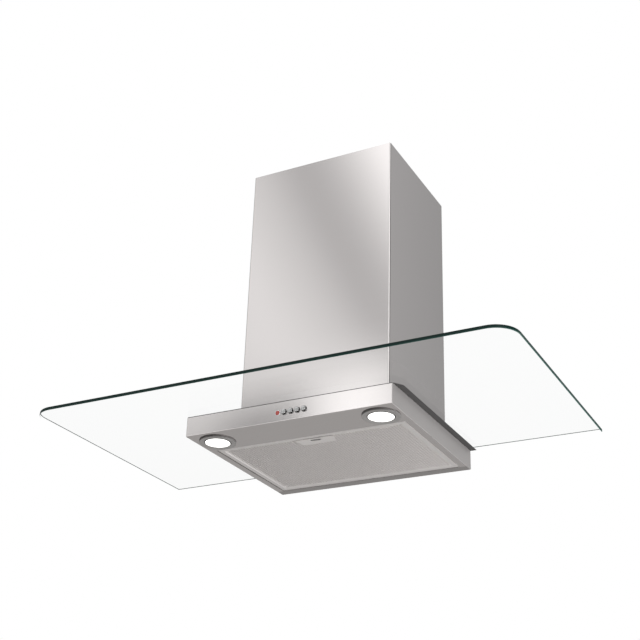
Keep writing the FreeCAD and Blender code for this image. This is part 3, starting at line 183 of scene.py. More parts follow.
class StageSizes(bpy.types.PropertyGroup):
    """Camera and floor"""

    camera_place: FloatVectorProperty(
        name="Camera", description="Where the camera stands", unit="LENGTH",
        default=(0.964305, -2.033038, -0.964876))
    camera_yaw: FloatProperty(
        name="Yaw", description="Turn of the camera to the left", default=0.4930, unit="ROTATION")
    camera_pitch: FloatProperty(
        name="Pitch", description="Upward tilt of the camera", default=0.4561, unit="ROTATION")
    camera_roll: FloatProperty(
        name="Roll", description="Roll of the camera", default=0.0335, unit="ROTATION")
    focal_pixels: FloatProperty(
        name="Focal length", description="In pixels of a 640 pixel image", default=1222.243)
    image_pixels: IntProperty(
        name="Image", description="Width of the image in pixels", default=640)
    floor_drop: FloatProperty(
        name="Floor drop", description="Floor below the hood's underside", default=1.5,
        unit="LENGTH")


# ---------------------------------------------------------------- shader maths

class Value:
    """A socket that adds Math nodes when it meets a Python operator."""

    def __init__(self, maker, socket):
        self.maker = maker
        self.socket = socket

    def __add__(self, other):
        return self.maker.maths("ADD", self, other)

    def __radd__(self, other):
        return self.maker.maths("ADD", other, self)

    def __sub__(self, other):
        return self.maker.maths("SUBTRACT", self, other)

    def __rsub__(self, other):
        return self.maker.maths("SUBTRACT", other, self)

    def __mul__(self, other):
        return self.maker.maths("MULTIPLY", self, other)

    def __rmul__(self, other):
        return self.maker.maths("MULTIPLY", other, self)


class Maker:
    """Builds the nodes of one material or world."""

    def __init__(self, tree):
        self.tree = tree
        tree.nodes.clear()

    def node(self, kind, settings=None, inputs=None, output=0):
        """Adds a node, sets or links its inputs and returns one of its outputs."""
        made = self.tree.nodes.new(kind)
        for name, setting in (settings or {}).items():
            if name == "stops":
                self.set_stops(made.color_ramp, setting)
            else:
                setattr(made, name, setting)
        for name, given in (inputs or {}).items():
            self.fill(made.inputs[name], given)
        return Value(self, made.outputs[output])

    def fill(self, socket, given):
        """Links a value to an input, or sets a constant on it."""
        if isinstance(given, Value):
            self.tree.links.new(given.socket, socket)
        else:
            socket.default_value = given

    @staticmethod
    def set_stops(ramp, stops):
        """Gives a ramp its stops of (place, grey)."""
        while len(ramp.elements) < len(stops):
            ramp.elements.new(1)
        for element, (place, grey) in zip(ramp.elements, stops):
            element.position = place
            element.color = (grey, grey, grey, 1)

    def maths(self, operation, *inputs):
        """One Math node."""
        return self.node("ShaderNodeMath", {"operation": operation}, dict(enumerate(inputs)))

    def parts(self, vector):
        """The x, y and z of a vector."""
        first = self.node("ShaderNodeSeparateXYZ", {}, {"Vector": vector})
        return [Value(self, socket) for socket in first.socket.node.outputs]

    def coordinates(self, scale=(1, 1, 1)):
        """Object coordinates, stretched."""
        place = self.node("ShaderNodeTexCoord", output="Object")
        return self.node("ShaderNodeMapping", {}, {"Vector": place, "Scale": scale})

    def noise(self, vector, scale, detail=2.0):
        """Soft noise from 0 to 1."""
        return self.node("ShaderNodeTexNoise", {}, {
            "Vector": vector, "Scale": scale, "Detail": detail}, output="Fac")

    def ramp(self, factor, *stops):
        """A value by way of stops of (place, grey)."""
        return self.node("ShaderNodeValToRGB", {"stops": stops}, {"Fac": factor})

    def blend(self, factor, first, second):
        """A colour between two, by a factor."""
        made = self.node("ShaderNodeMix", {"data_type": "RGBA"}, {0: factor}, output=2)
        for number, given in ((6, first), (7, second)):
            colour = given if isinstance(given, Value) else (*given, 1)
            self.fill(made.socket.node.inputs[number], colour)
        return made

    def mottle(self, factor, colour, darker, lighter):
        """A colour between a darker and a lighter share of it, by a factor."""
        return self.blend(factor, shade(colour, darker), shade(colour, lighter))

    def bump(self, height, strength, distance):
        """A normal from a height."""
        return self.node("ShaderNodeBump", {}, {
            "Height": height, "Strength": strength, "Distance": distance})

    def surface(self, inputs):
        """Ends the material with one principled shader."""
        self.end(self.node("ShaderNodeBsdfPrincipled", {}, inputs))

    def end(self, shader, kind="ShaderNodeOutputMaterial"):
        """Links a shader to the output."""
        self.tree.links.new(shader.socket, self.tree.nodes.new(kind).inputs["Surface"])


def new_material(name):
    """A material without nodes, and the maker for them."""
    material = bpy.data.materials.new(name)
    material.use_nodes = True
    return material, Maker(material.node_tree)


def shade(colour, factor):
    """A darker or lighter colour."""
    return tuple(channel * factor for channel in colour)


def spread(value, width, centre):
    """A value from 0 to 1, spread over a width about a centre."""
    return value * width + (centre - width / 2)


# ---------------------------------------------------------------- finishes

GRAIN = {"x": (1.5, 1500, 1500), "y": (1500, 1.5, 1500), "z": (1500, 1500, 1.5)}
SCRATCH_DEPTH = 0.1 * MM
SCRATCH_GLOSS = 0.06    # how far roughness differs between scratches
FINE_DEPTH = 0.2 * MM   # depth of the textures of plastic, chrome, paint and frost
GLASS_INDEX = 1.52
FAR_MIRROR = 0.4        # how strongly the far face of the pane mirrors


def brushing(make, grain):
    """Fine scratches along one axis, and the tone that they and a slow cloud give."""
    scratches = make.noise(make.coordinates(GRAIN[grain]), 1.0, 3.0)
    cloud = make.noise(make.coordinates(), 5.0)
    return scratches, scratches * 0.65 + cloud * 0.35


def brushed_steel(name, colour, grain, roughness=0.20, relief=0.012):
    """Sheet with fine scratches along one axis and a slow change of tone."""
    material, make = new_material(name)
    scratches, tone = brushing(make, grain)
    make.surface({
        "Base Color": make.mottle(tone, colour, 0.96, 1.04),
        "Metallic": 1.0,
        "Roughness": spread(scratches, SCRATCH_GLOSS, roughness),
        "Normal": make.bump(scratches, relief, SCRATCH_DEPTH),
    })
    return material


def body_steel(name, colour, roughness):
    """Brushed front and underside; the sides are rougher and less metallic, and painted shade darkens
    the sides and the strip behind the filter.
    """
    material, make = new_material(name)
    scratches, tone = brushing(make, "x")
    across, inward, _ = make.parts(make.coordinates())
    side_blur, strip_blur = 1.6 * MM, 2 * MM
    outward = make.maths("ABSOLUTE", across)
    side = make.ramp((outward - BODY_SIDE) * (1 / side_blur) + 1, (0.15, 0), (0.85, 1))
    behind_filter = inward - high("filter_frame").y
    strip = make.ramp(behind_filter * (1 / strip_blur), (0.3, 0), (0.6, 1))
    bright = make.mottle(tone, colour, 0.96, 1.04)
    # painted shade: the strip behind the filter is darkened to 0.60-0.66 of the colour
    dim = make.mottle(tone, colour, 0.60, 0.66)
    # painted shade: the sides are darkened to 0.41-0.45 of the colour
    painted_side_shade = make.mottle(tone, colour, 0.41, 0.45)
    make.surface({
        "Base Color": make.blend(side, make.blend(strip, bright, dim), painted_side_shade),
        "Metallic": 1 - side * 0.55,
        "Roughness": spread(scratches, SCRATCH_GLOSS, roughness) + side * 0.30,
        "Normal": make.bump(scratches, 0.012, SCRATCH_DEPTH),
    })
    return material


def zinc_sheet(name, colour):
    """Galvanised sheet with soft crystal patches."""
    material, make = new_material(name)
    patches = make.node("ShaderNodeTexVoronoi", {}, {
        "Vector": make.coordinates(), "Scale": 130.0}, output="Color")
    grey = make.node("ShaderNodeRGBToBW", {}, {"Color": patches})
    cloud = make.noise(make.coordinates(), 14.0, 4.0)
    make.surface({
        "Base Color": make.mottle(grey * 0.7 + cloud * 0.3, colour, 0.80, 1.12),
        "Metallic": 1.0,
        "Roughness": grey * 0.12 + cloud * 0.16 + 0.26,
        "Normal": make.bump(cloud, 0.08, 0.4 * MM),
    })
    return material


def plastic(name, colour, roughness=0.42, grain=900.0, relief=0.16):
    """Moulded plastic with a fine spark-eroded texture."""
    material, make = new_material(name)
    texture = make.noise(make.coordinates(), grain)
    cloud = make.noise(make.coordinates(), 22.0, 3.0)
    make.surface({
        "Base Color": make.mottle(cloud, colour, 0.90, 1.10),
        "Roughness": spread(cloud, 0.14, roughness),
        "Normal": make.bump(texture, relief, FINE_DEPTH),
    })
    return material


def chrome(name, colour=(0.80, 0.80, 0.81), roughness=0.09):
    """Plated metal with a faint haze."""
    material, make = new_material(name)
    haze = make.noise(make.coordinates(), 160.0, 3.0)
    make.surface({
        "Base Color": make.mottle(haze, colour, 0.95, 1.03),
        "Metallic": 1.0,
        "Roughness": haze * 0.08 + roughness,
        "Normal": make.bump(haze, 0.02, FINE_DEPTH),
    })
    return material


def painted_metal(name, colour, roughness=0.36):
    """Sprayed paint with a slight orange peel."""
    material, make = new_material(name)
    peel = make.noise(make.coordinates(), 420.0)
    cloud = make.noise(make.coordinates(), 18.0, 3.0)
    make.surface({
        "Base Color": make.mottle(cloud, colour, 0.88, 1.12),
        "Roughness": peel * 0.10 + cloud * 0.08 + (roughness - 0.09),
        "Normal": make.bump(peel, 0.10, FINE_DEPTH),
    })
    return material


def clear_glass(name):
    """Float glass: what is behind it shows through, and the far face mirrors a little."""
    material, make = new_material(name)
    behind = make.node("ShaderNodeBsdfTransparent", {}, {"Color": (0.998, 1, 0.999, 1)})
    mirror = make.node("ShaderNodeBsdfGlossy", {}, {"Color": (1, 1, 1, 1), "Roughness": 0.012})
    fresnel = make.node("ShaderNodeFresnel", {}, {"IOR": 1 / GLASS_INDEX})
    far_face = make.node("ShaderNodeNewGeometry", output="Backfacing")
    share = fresnel * far_face * FAR_MIRROR
    make.end(make.node("ShaderNodeMixShader", {}, {0: share, 1: behind, 2: mirror}))
    return material


def ground_edge(name, colour):
    """The edge of float glass: nearly black green from outside, with a painted reflection lightening
    its lower part; clear seen through the pane.
    """
    material, make = new_material(name)
    streaks = make.noise(make.coordinates((60, 60, 900)), 1.0)
    height = make.parts(make.coordinates())[2]
    # painted reflection: towards the bottom the edge lightens from 0.25 to 0.7 of its colour
    pale = make.ramp((height - GLASS_LOW) * (1 / (GLASS_TOP - GLASS_LOW)), (0.05, 1), (0.30, 0))
    solid = make.node("ShaderNodeBsdfPrincipled", {}, {
        "Base Color": make.mottle(pale, colour, 0.25, 0.7),
        "Roughness": streaks * 0.12 + 0.22,
        "Specular IOR Level": 0.12,
    })
    behind = make.node("ShaderNodeBsdfTransparent", {}, {"Color": (1, 1, 1, 1)})
    inside = make.node("ShaderNodeNewGeometry", output="Backfacing")
    make.end(make.node("ShaderNodeMixShader", {}, {0: inside, 1: solid, 2: behind}))
    return material


def dull_arris(name, colour):
    """Narrow ground face along the upper edge of the pane, without gloss."""
    material, make = new_material(name)
    streaks = make.noise(make.coordinates(), 60.0)
    make.surface({
        "Base Color": make.mottle(streaks, colour, 0.9, 1.1),
        "Roughness": streaks * 0.2 + 0.7,
        "Specular IOR Level": 0.0,
    })
    return material


def lit_lens(name):
    """Frosted lamp glass with the lamp on."""
    material, make = new_material(name)
    frost = make.noise(make.coordinates(), 700.0)
    make.surface({
        "Base Color": make.blend(frost, (0.90, 0.89, 0.86), (0.97, 0.97, 0.95)),
        "Roughness": frost * 0.1 + 0.3,
        "Emission Color": make.blend(frost, (1.0, 0.97, 0.93), (1.0, 1.0, 1.0)),
        "Emission Strength": 1.3,
        "Normal": make.bump(frost, 0.1, FINE_DEPTH),
    })
    return material


def pilot_lens_finish(name, colour):
    """Clear coloured plastic with a faint glow."""
    material, make = new_material(name)
    depth = make.noise(make.coordinates(), 260.0)
    make.surface({
        "Base Color": make.mottle(depth, colour, 0.7, 1.15),
        "Roughness": depth * 0.08 + 0.12,
        "Emission Color": make.mottle(depth, colour, 0.8, 1.0),
        "Emission Strength": 0.12,
        "Coat Weight": 0.8,
        "Coat Roughness": 0.04,
    })
    return material


# ---------------------------------------------------------------- mesh helpers

def piece(name, shape, body, slot, *materials, replaces=()):
    """Turns a finished bmesh into a piece that rides on a body."""
    mesh = bpy.data.meshes.new(name)
    shape.to_mesh(mesh)
    shape.free()
    obj = bpy.data.objects.new(name, mesh)
    bpy.context.scene.collection.objects.link(obj)
    for material in materials:
        mesh.materials.append(material)
    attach(obj, body)
    if replaces:
        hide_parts(*replaces)


def everything(shape):
    """All that a shape holds, as an operator takes it."""
    return [*shape.verts, *shape.edges, *shape.faces]


def vertices_in(geometry):
    """The vertices among what an operator returns."""
    return [item for item in geometry if isinstance(item, bmesh.types.BMVert)]


def edges_of(vertices):
    """The edges that end at some vertices."""
    return list({edge for vertex in vertices for edge in vertex.link_edges})


def sharp_edges(shape):
    """Edges where two faces meet at nearly a right angle."""
    return [edge for edge in shape.edges
            if len(edge.link_faces) == 2 and edge.calc_face_angle() > SHARP_ANGLE]


def along(edge, axis):
    """How far an edge reaches along one axis."""
    first, second = edge.verts
    return abs(first.co[axis] - second.co[axis])


def soften(shape, edges, offset, segments=2):
    """Rounds the given edges."""
    bmesh.ops.bevel(shape, geom=edges, affect="EDGES", offset=offset, offset_type="OFFSET",
                    segments=segments, profile=0.5, material=-1, clamp_overlap=True)


def outline(shape, points, height, *rounds):
    """Adds a level outline and returns its edges; a round is (corner numbers, radius, steps)."""
    corners = [shape.verts.new((x, y, height)) for x, y in points]
    shape.faces.new(corners)
    for numbers, radius, steps in rounds:
        bmesh.ops.bevel(shape, geom=[corners[number] for number in numbers], affect="VERTICES",
                        offset=radius, offset_type="OFFSET", segments=steps, profile=0.5,
                        material=-1)
    rim = [edge for edge in shape.edges if edge.link_faces]
    bmesh.ops.delete(shape, geom=list(shape.faces), context="FACES_ONLY")
    return rim


def thicken(shape, height):
    """Raises the flat sheet in a shape to a slab."""
    raised = bmesh.ops.extrude_face_region(shape, geom=list(shape.faces))
    bmesh.ops.translate(shape, verts=vertices_in(raised["geom"]), vec=(0, 0, height))
    bmesh.ops.recalc_face_normals(shape, faces=list(shape.faces))


def add_box(shape, lowest, highest):
    """Adds a box between two corners."""
    lowest, highest = Vector(lowest), Vector(highest)
    place = Matrix.Translation((lowest + highest) / 2) @ Matrix.Diagonal((*(highest - lowest), 1))
    bmesh.ops.create_cube(shape, size=1, matrix=place)


def lathe(shape, profile, centre, axis, steps=48):
    """Spins a profile of (radius, height) points about an axis and returns what it made."""
    axis = Vector(axis)
    side = Vector((0, 0, 1)) if abs(axis.z) < 0.5 else Vector((1, 0, 0))
    centre = Vector(centre)
    points = [shape.verts.new(centre + side * radius + axis * height) for radius, height in profile]
    lines = [shape.edges.new(pair) for pair in zip(points, points[1:])]
    before = set(shape.faces)
    bmesh.ops.spin(shape, geom=points + lines, cent=centre, axis=axis, dvec=(0, 0, 0),
                   angle=2 * math.pi, steps=steps, use_merge=True, use_duplicate=False)
    made = [face for face in shape.faces if face not in before]
    corners = list({vertex for face in made for vertex in face.verts})
    bmesh.ops.remove_doubles(shape, verts=corners, dist=MERGE)
    made = [face for face in shape.faces if face not in before]
    bmesh.ops.recalc_face_normals(shape, faces=made)
    return made


def section(radius, *points):
    """Part of a profile, from points of (millimetres beyond a radius, millimetres of height)."""
    return [(radius + out * MM, height * MM) for out, height in points]


def quarter_turn(steps):
    """Angles from none to a right angle."""
    return [math.pi / 2 * number / steps for number in range(steps + 1)]


def smooth(faces):
    """Shades faces smoothly."""
    for face in faces:
        face.smooth = True


def paint_beyond(faces, centre, radius):
    """Gives faces beyond a radius from an upright axis the second material."""
    for face in faces:
        spot = face.calc_center_median() - centre
        face.material_index = 1 if math.hypot(spot.x, spot.y) > radius else 0


# ---------------------------------------------------------------- the glass

def glass_outline():
    """Corners of the pane with the notch for the chimney, starting at the rear left."""
    left, right = low("glass_canopy"), high("glass_canopy")
    return [(left.x, right.y), (left.x, left.y), (right.x, left.y), (right.x, right.y),
            (NOTCH_HALF, right.y), (NOTCH_HALF, NOTCH_FRONT),
            (-NOTCH_HALF, NOTCH_FRONT), (-NOTCH_HALF, right.y)]


def bolt_places():
    """Middle of each of the four glass bolts, from above."""
    lowest, highest = low("glass_bolts"), high("glass_bolts")
    return [(x, y) for x in (lowest.x + BOLT_HEAD, highest.x - BOLT_HEAD)
            for y in (lowest.y + BOLT_HEAD, highest.y - BOLT_HEAD)]


def build_glass(sizes, colours):
    """Flat pane with rounded front corners, bolt holes and ground edges."""
    shape = bmesh.new()
    front, notch = (1, 2), (5, 6)
    rim = outline(shape, glass_outline(), GLASS_LOW,
                  (front, sizes.glass_corner, 20), (notch, sizes.notch_corner, 8))
    for x, y in bolt_places():
        ring = bmesh.ops.create_circle(shape, cap_ends=False, radius=sizes.bolt_hole, segments=28,
                                       matrix=Matrix.Translation((x, y, GLASS_LOW)))
        rim += edges_of(ring["verts"])
    bmesh.ops.triangle_fill(shape, use_beauty=True, use_dissolve=False, edges=rim)
    bmesh.ops.dissolve_limit(shape, angle_limit=0.01, verts=list(shape.verts), edges=list(shape.edges))
    thicken(shape, GLASS_TOP - GLASS_LOW)
    soften(shape, [edge for edge in sharp_edges(shape) if along(edge, 2) < LEVEL], sizes.arris, 1)
    for face in shape.faces:
        flat, upper = abs(face.normal.z) > 0.99, face.normal.z > 0.2
        face.material_index = 0 if flat else 2 if upper else 1
    piece("glass_pane", shape, "hood", "canopy_glass", clear_glass("clear float glass"),
          ground_edge("ground glass edge", shade(colours.glass_edge, 1.2)),
          dull_arris("upper arris of the glass", colours.arris),
          replaces=("glass_canopy",))


# ---------------------------------------------------------------- controls

BUTTON_RIM = 0.9 * MM
BUTTON_RING_PLAY = 0.35 * MM
PILOT_RING_PLAY = 0.1 * MM
PILOT_RISE = 1.1 * MM


def hole_ring(name, node, edge, points, material):
    """Pressed ring in the body's front, round the hole of a button or the pilot light."""
    centre = (middle(node).x, BODY_FRONT, middle(node).z)
    shape = bmesh.new()
    smooth(lathe(shape, section(edge, *points), centre, INWARD))
    piece(name, shape, "hood", "button_chrome", material)


def build_buttons():
    """Turned caps with a rolled rim, and the pressed ring round each hole, their chrome darkened by
    painted shade.
    """
    # painted shade and reflection: the chrome of the face (0.40), the wall (0.10) and the ring (0.30)
    # is darkened for the dark the chrome mirrors; the wall darkest, as a dark crescent round each cap
    face_steel = chrome("button face", (0.40, 0.40, 0.40), 0.12)
    shaded_wall_chrome = chrome("button wall", (0.10, 0.10, 0.10), 0.14)
    ring_steel = chrome("button ring", (0.30, 0.30, 0.30), 0.16)
    ring_points = ((0, 0.9), (0, -0.25), (0.15, -0.4), (0.55, -0.4), (0.8, 0), (0.8, 0.1),
                   (0.3, 0.9), (0, 0.9))
    for node in BUTTONS:
        front, radius = low(node).y, radius_of(node)
        length = high(node).y - front
        rim = [(radius - BUTTON_RIM + BUTTON_RIM * math.sin(turn),
                BUTTON_RIM - BUTTON_RIM * math.cos(turn)) for turn in quarter_turn(5)]
        profile = [(0, 0.45 * MM), (radius * 0.45, 0.40 * MM), (radius * 0.68, 0.15 * MM), *rim,
                   (radius, BUTTON_HEAD), (BUTTON_STEM, BUTTON_HEAD),
                   (BUTTON_STEM, length - 0.3 * MM), (BUTTON_STEM - 0.3 * MM, length), (0, length)]
        shape = bmesh.new()
        faces = lathe(shape, profile, (middle(node).x, front, middle(node).z), INWARD)
        smooth(faces)
        for face in faces:
            face.material_index = 0 if face.calc_center_median().y < front + BUTTON_RIM else 1
        piece(f"{node}_cap", shape, node, "button_chrome", face_steel, shaded_wall_chrome, replaces=(node,))
        hole_ring(f"{node}_ring", node, radius + BUTTON_RING_PLAY, ring_points, ring_steel)


def build_pilot(colours):
    """Domed lens of the pilot light, and the pressed ring round its hole."""
    node = "pilot_lens"
    front, radius = low(node).y, radius_of(node)
    length = high(node).y - front
    dome = [(radius * math.sin(turn), PILOT_RISE * (1 - math.cos(turn))) for turn in quarter_turn(7)]
    shape = bmesh.new()
    smooth(lathe(shape, dome + [(radius, length), (0, length)],
                 (middle(node).x, front, middle(node).z), INWARD))
    piece("pilot_dome", shape, "hood", "pilot_red", pilot_lens_finish("pilot lens", colours.pilot),
          replaces=(node,))
    ring_points = ((0, 0.9), (0, -0.3), (0.2, -0.45), (0.6, -0.45), (0.9, 0), (0.9, 0.1),
                   (0.2, 0.9), (0, 0.9))
    hole_ring("pilot_ring", node, radius + PILOT_RING_PLAY, ring_points,
              chrome("pilot ring", roughness=0.14))


# ---------------------------------------------------------------- lamps

LAMP_STEPS = 96
RING_LIP = 0.9 * MM         # the ring's lip covers this much of the lens
RING_SEAT_PLAY = 0.2 * MM   # between the lens and the ring's collar
RING_COLLAR = 2.4 * MM      # from the lens to the outside of that collar
RING_COLLAR_TOP = 1 * MM    # the collar reaches this far into the body
LENS_PLAY = 0.15 * MM
SHADE_BAND_WIDTH = 1.6 * MM           # dark band round the lens's edge, painted shade
LENS_TOP = 3 * MM


def build_lamps():
    """Rolled ring and shallow domed lens of each lamp."""
    steel = chrome("lamp ring", (0.56, 0.55, 0.545), 0.30)
    # painted shade: the outer wall of each ring gets dark paint in place of the ring's chrome, for the
    # thin dark line round it
    shadow = painted_metal("shaded lamp ring wall", (0.15, 0.145, 0.143), 0.5)
    glow = lit_lens("lit lamp lens")
    # painted shade: a black band round each lens's edge stands for the shade round it
    shade_band = plastic("lens shade band", (0.02, 0.02, 0.02), 0.35)
    for name in ("left", "right"):
        ring_node, lens_node = f"lamp_ring_{name}", f"lamp_lens_{name}"
        centre, bottom = middle(ring_node), low(ring_node).z
        centre.z = bottom
        outer, lens = radius_of(ring_node), radius_of(lens_node)
        lip, seat, collar = lens - RING_LIP, lens + RING_SEAT_PLAY, lens + RING_COLLAR
        drop = BODY_BOTTOM - bottom
        collar_top = drop + RING_COLLAR_TOP
        profile = [
            *section(lip, (0, 2.2), (0, 1.1), (0.2, 0.75), (0.5, 0.6), (0.8, 0.58)),
            *section(outer, (-4.8, 0.55), (-4.5, 0.48), (-3.9, 0.08), (-3.6, 0), (-0.6, 0),
                     (-0.35, 0), (-0.1, 0.1), (0, 0.35), (0, 0.6)),
            (outer, drop), (collar, drop), (collar, collar_top), (seat, collar_top),
            (seat, 2.2 * MM), (lip, 2.2 * MM)]
        ring = bmesh.new()
        faces = lathe(ring, profile, centre, UPWARD, LAMP_STEPS)
        smooth(faces)
        paint_beyond(faces, centre, outer - 0.3 * MM)
        piece(f"lamp_{name}_ring", ring, "hood", "ring_chrome", steel, shadow, replaces=(ring_node,))
        wall = lip - LENS_PLAY
        glowing = wall - SHADE_BAND_WIDTH
        profile = [(0, 0.1 * MM), (glowing, 0.3 * MM), *section(wall, (-0.3, 0.5), (0, 0.8), (0, 2.3)),
                   (lens, 2.3 * MM), (lens, LENS_TOP), (0, LENS_TOP)]
        pane = bmesh.new()
        faces = lathe(pane, profile, centre, UPWARD, LAMP_STEPS)
        smooth(faces)
        paint_beyond(faces, centre, glowing)
        piece(f"lamp_{name}_lens", pane, "hood", "lens_white", glow, shade_band, replaces=(lens_node,))


# ---------------------------------------------------------------- filter

def add_pivots(shape, half, pivot_y, pivot_z, tip):
    """Adds the two pins that the filter swings on."""
    for side in (-1, 1):
        start = (side * (half - PIVOT_RADIUS), pivot_y, pivot_z)
        reach = tip - half + PIVOT_RADIUS
        pin = [(0, 0), (PIVOT_RADIUS, 0), (PIVOT_RADIUS, reach - 0.4 * MM), (1.1 * MM, reach),
               (0, reach)]
        lathe(shape, pin, start, (side, 0, 0), 20)


def build_filter_frame(sizes, colours):
    """Roll-formed frame of the grease filter, mitred at its corners, with its two pivots."""
    lowest, highest = low("filter_frame"), high("filter_frame")
    half = BODY_SIDE - SIDE_BORDER
    bar, bottom, recess = sizes.frame_bar, lowest.z, lowest.z + 1.7 * MM
    profile = ((0, highest.z), (0, bottom + 0.2 * MM), (1.6 * MM, bottom), (bar - 3.6 * MM, bottom),
               (bar - 2.0 * MM, recess), (bar, recess), (bar, highest.z))
    shape = bmesh.new()
    rings = []
    for inset, level in profile:
        corners = [(-half + inset, lowest.y + inset), (half - inset, lowest.y + inset),
                   (half - inset, highest.y - inset), (-half + inset, highest.y - inset)]
        rings.append([shape.verts.new((x, y, level)) for x, y in corners])
    for first, second in zip(rings, rings[1:] + rings[:1]):
        for number in range(4):
            following = (number + 1) % 4
            shape.faces.new((first[number], first[following], second[following], second[number]))
    bmesh.ops.recalc_face_normals(shape, faces=list(shape.faces))
    lengthwise = [edge for edge in shape.edges if along(edge, 2) < LEVEL
                  and min(along(edge, 0), along(edge, 1)) < LEVEL]
    soften(shape, lengthwise, 0.35 * MM)
    add_pivots(shape, half, highest.y - PIVOT_INSET, bottom + PIVOT_INSET, highest.x)
    steel = brushed_steel("filter frame", colours.filter_frame, "x", 0.38, 0.03)
    piece("filter_surround", shape, "filter", "filter_aluminium", steel, replaces=("filter_frame",))


def repeat(shape, step, count):
    """Repeats everything in the shape count times along a step, by copying ever larger lots."""
    step, made = Vector(step), 1
    while made < count:
        lot = min(made, count - made)
        copied = everything(shape)
        if lot < made:
            way = step.normalized()
            origin = min(vertex.co.dot(way) for vertex in shape.verts)
            limit = origin + (step * lot).length + CUT
            keep = [face for face in shape.faces if face.calc_center_median().dot(way) < limit]
            copied = list({item for face in keep for item in (face, *face.verts, *face.edges)})
        copy = bmesh.ops.duplicate(shape, geom=copied)
        bmesh.ops.translate(shape, verts=vertices_in(copy["geom"]), vec=step * made)
        made += lot


def mesh_cell(shape, origin, sizes):
    """One diamond of expanded mesh: four slanting strands that meet at their ends."""
    half, up = sizes.mesh_pitch / 2, sizes.mesh_rise / 2
    across, tip = Vector((0, sizes.strand / 2, 0)), Vector((0, 0, MESH_THICKNESS))
    for side, way in ((1, 1), (1, -1), (-1, 1), (-1, -1)):
        start = Vector((origin.x - side * half, origin.y, origin.z))
        end = Vector((origin.x, origin.y + way * up, origin.z))
        lift = Vector((0, 0, -MESH_THICKNESS * STRAND_TILT * way))
        loop = [start - across, start + across, end + across + lift, end - across + lift]
        bottom = [shape.verts.new(point) for point in loop]
        top = [shape.verts.new(point + tip) for point in loop]
        shape.faces.new(bottom)
        shape.faces.new(top)
        for number in range(4):
            following = (number + 1) % 4
            shape.faces.new((bottom[number], bottom[following], top[following], top[number]))


def build_filter_mesh(sizes, colours):
    """Expanded aluminium sheet over the mesh pack, trimmed to the frame and round the latch."""
    lowest, highest = low("filter_mesh"), high("filter_mesh")
    left, right = lowest.x + MESH_TRIM, highest.x - MESH_TRIM
    front, rear = lowest.y + MESH_TRIM, highest.y - MESH_TRIM
    columns = int((right - left) / sizes.mesh_pitch) + 2
    rows = int((rear - front) / sizes.mesh_rise) + 2
    shape = bmesh.new()
    mesh_cell(shape, Vector((left, front, lowest.z - MESH_DROP)), sizes)
    repeat(shape, (sizes.mesh_pitch, 0, 0), columns)
    repeat(shape, (0, sizes.mesh_rise, 0), rows)
    for point, normal in (((left, 0, 0), (-1, 0, 0)), ((right, 0, 0), (1, 0, 0)),
                          ((0, front, 0), (0, -1, 0)), ((0, rear, 0), (0, 1, 0))):
        bmesh.ops.bisect_plane(shape, geom=everything(shape), dist=CUT, plane_co=point,
                               plane_no=normal, clear_outer=True, clear_inner=False)
    cut_half = LATCH_BOX_HALF + MESH_PLAY
    cut_middle, cut_rear = middle("latch_plate").x, high("latch_plate").y + MESH_REAR_PLAY
    centres = {face: face.calc_center_median() for face in shape.faces}
    inside = [face for face, centre in centres.items()
              if abs(centre.x - cut_middle) < cut_half and centre.y < cut_rear]
    bmesh.ops.delete(shape, geom=inside, context="FACES")
    bmesh.ops.recalc_face_normals(shape, faces=list(shape.faces))
    strands = brushed_steel("expanded mesh", colours.filter_mesh, "x", 0.44, 0.02)
    piece("filter_mesh_face", shape, "filter", "filter_mesh_aluminium", strands)


def add_latch_box(shape, centre_x, lowest, highest, bottom):
    """Adds the two sides, the rear and the lid of the box over the finger slot."""
    wall, lid = LATCH_SHEET, highest.z
    left, right = centre_x - LATCH_BOX_HALF, centre_x + LATCH_BOX_HALF
    front, rear = lowest.y, highest.y
    add_box(shape, (left, front, bottom), (left + wall, rear, lid))
    add_box(shape, (right - wall, front, bottom), (right, rear, lid))
    add_box(shape, (left + wall, rear - wall, bottom), (right - wall, rear, lid))
    add_box(shape, (left + wall, front, lid - wall), (right - wall, rear - wall, lid))


def build_latch(colours):
    """Latch plate with rounded rear corners and a rolled edge round the finger slot."""
    lowest, highest = low("latch_plate"), high("latch_plate")
    centre_x, bottom = (lowest.x + highest.x) / 2, lowest.z
    left, right = centre_x - SLOT_HALF, centre_x + SLOT_HALF
    front, rear = lowest.y + SLOT_SETBACK, lowest.y + SLOT_REAR
    plate = [(lowest.x, lowest.y), (highest.x, lowest.y),
             (highest.x - LATCH_TAPER, highest.y), (lowest.x + LATCH_TAPER, highest.y)]
    slot = [(left, front), (right, front), (right, rear), (left, rear)]
    shape = bmesh.new()
    rim = outline(shape, plate, bottom, ((2, 3), LATCH_CORNER, 8))
    rim += outline(shape, slot, bottom, (range(4), SLOT_CORNER, 6))
    bmesh.ops.triangle_fill(shape, use_beauty=True, use_dissolve=False, edges=rim)
    thicken(shape, LATCH_SHEET)
    lower = [edge for edge in sharp_edges(shape)
             if all(vertex.co.z < bottom + LEVEL for vertex in edge.verts)]
    soften(shape, lower, 0.3 * MM)
    add_latch_box(shape, centre_x, lowest, highest, bottom + LATCH_SHEET)
    steel = brushed_steel("latch plate", colours.latch, "x", 0.42, 0.01)
    piece("latch_cover", shape, "filter", "brushed_shell", steel, replaces=("latch_plate",))


# ---------------------------------------------------------------- carried-over nodes

def dress(material, *nodes):
    """Gives carried-over nodes a material."""
    for node in nodes:
        slots = NODES[node].data.materials
        if len(slots) == 0:
            slots.append(material)
        for number in range(len(slots)):
            slots[number] = material


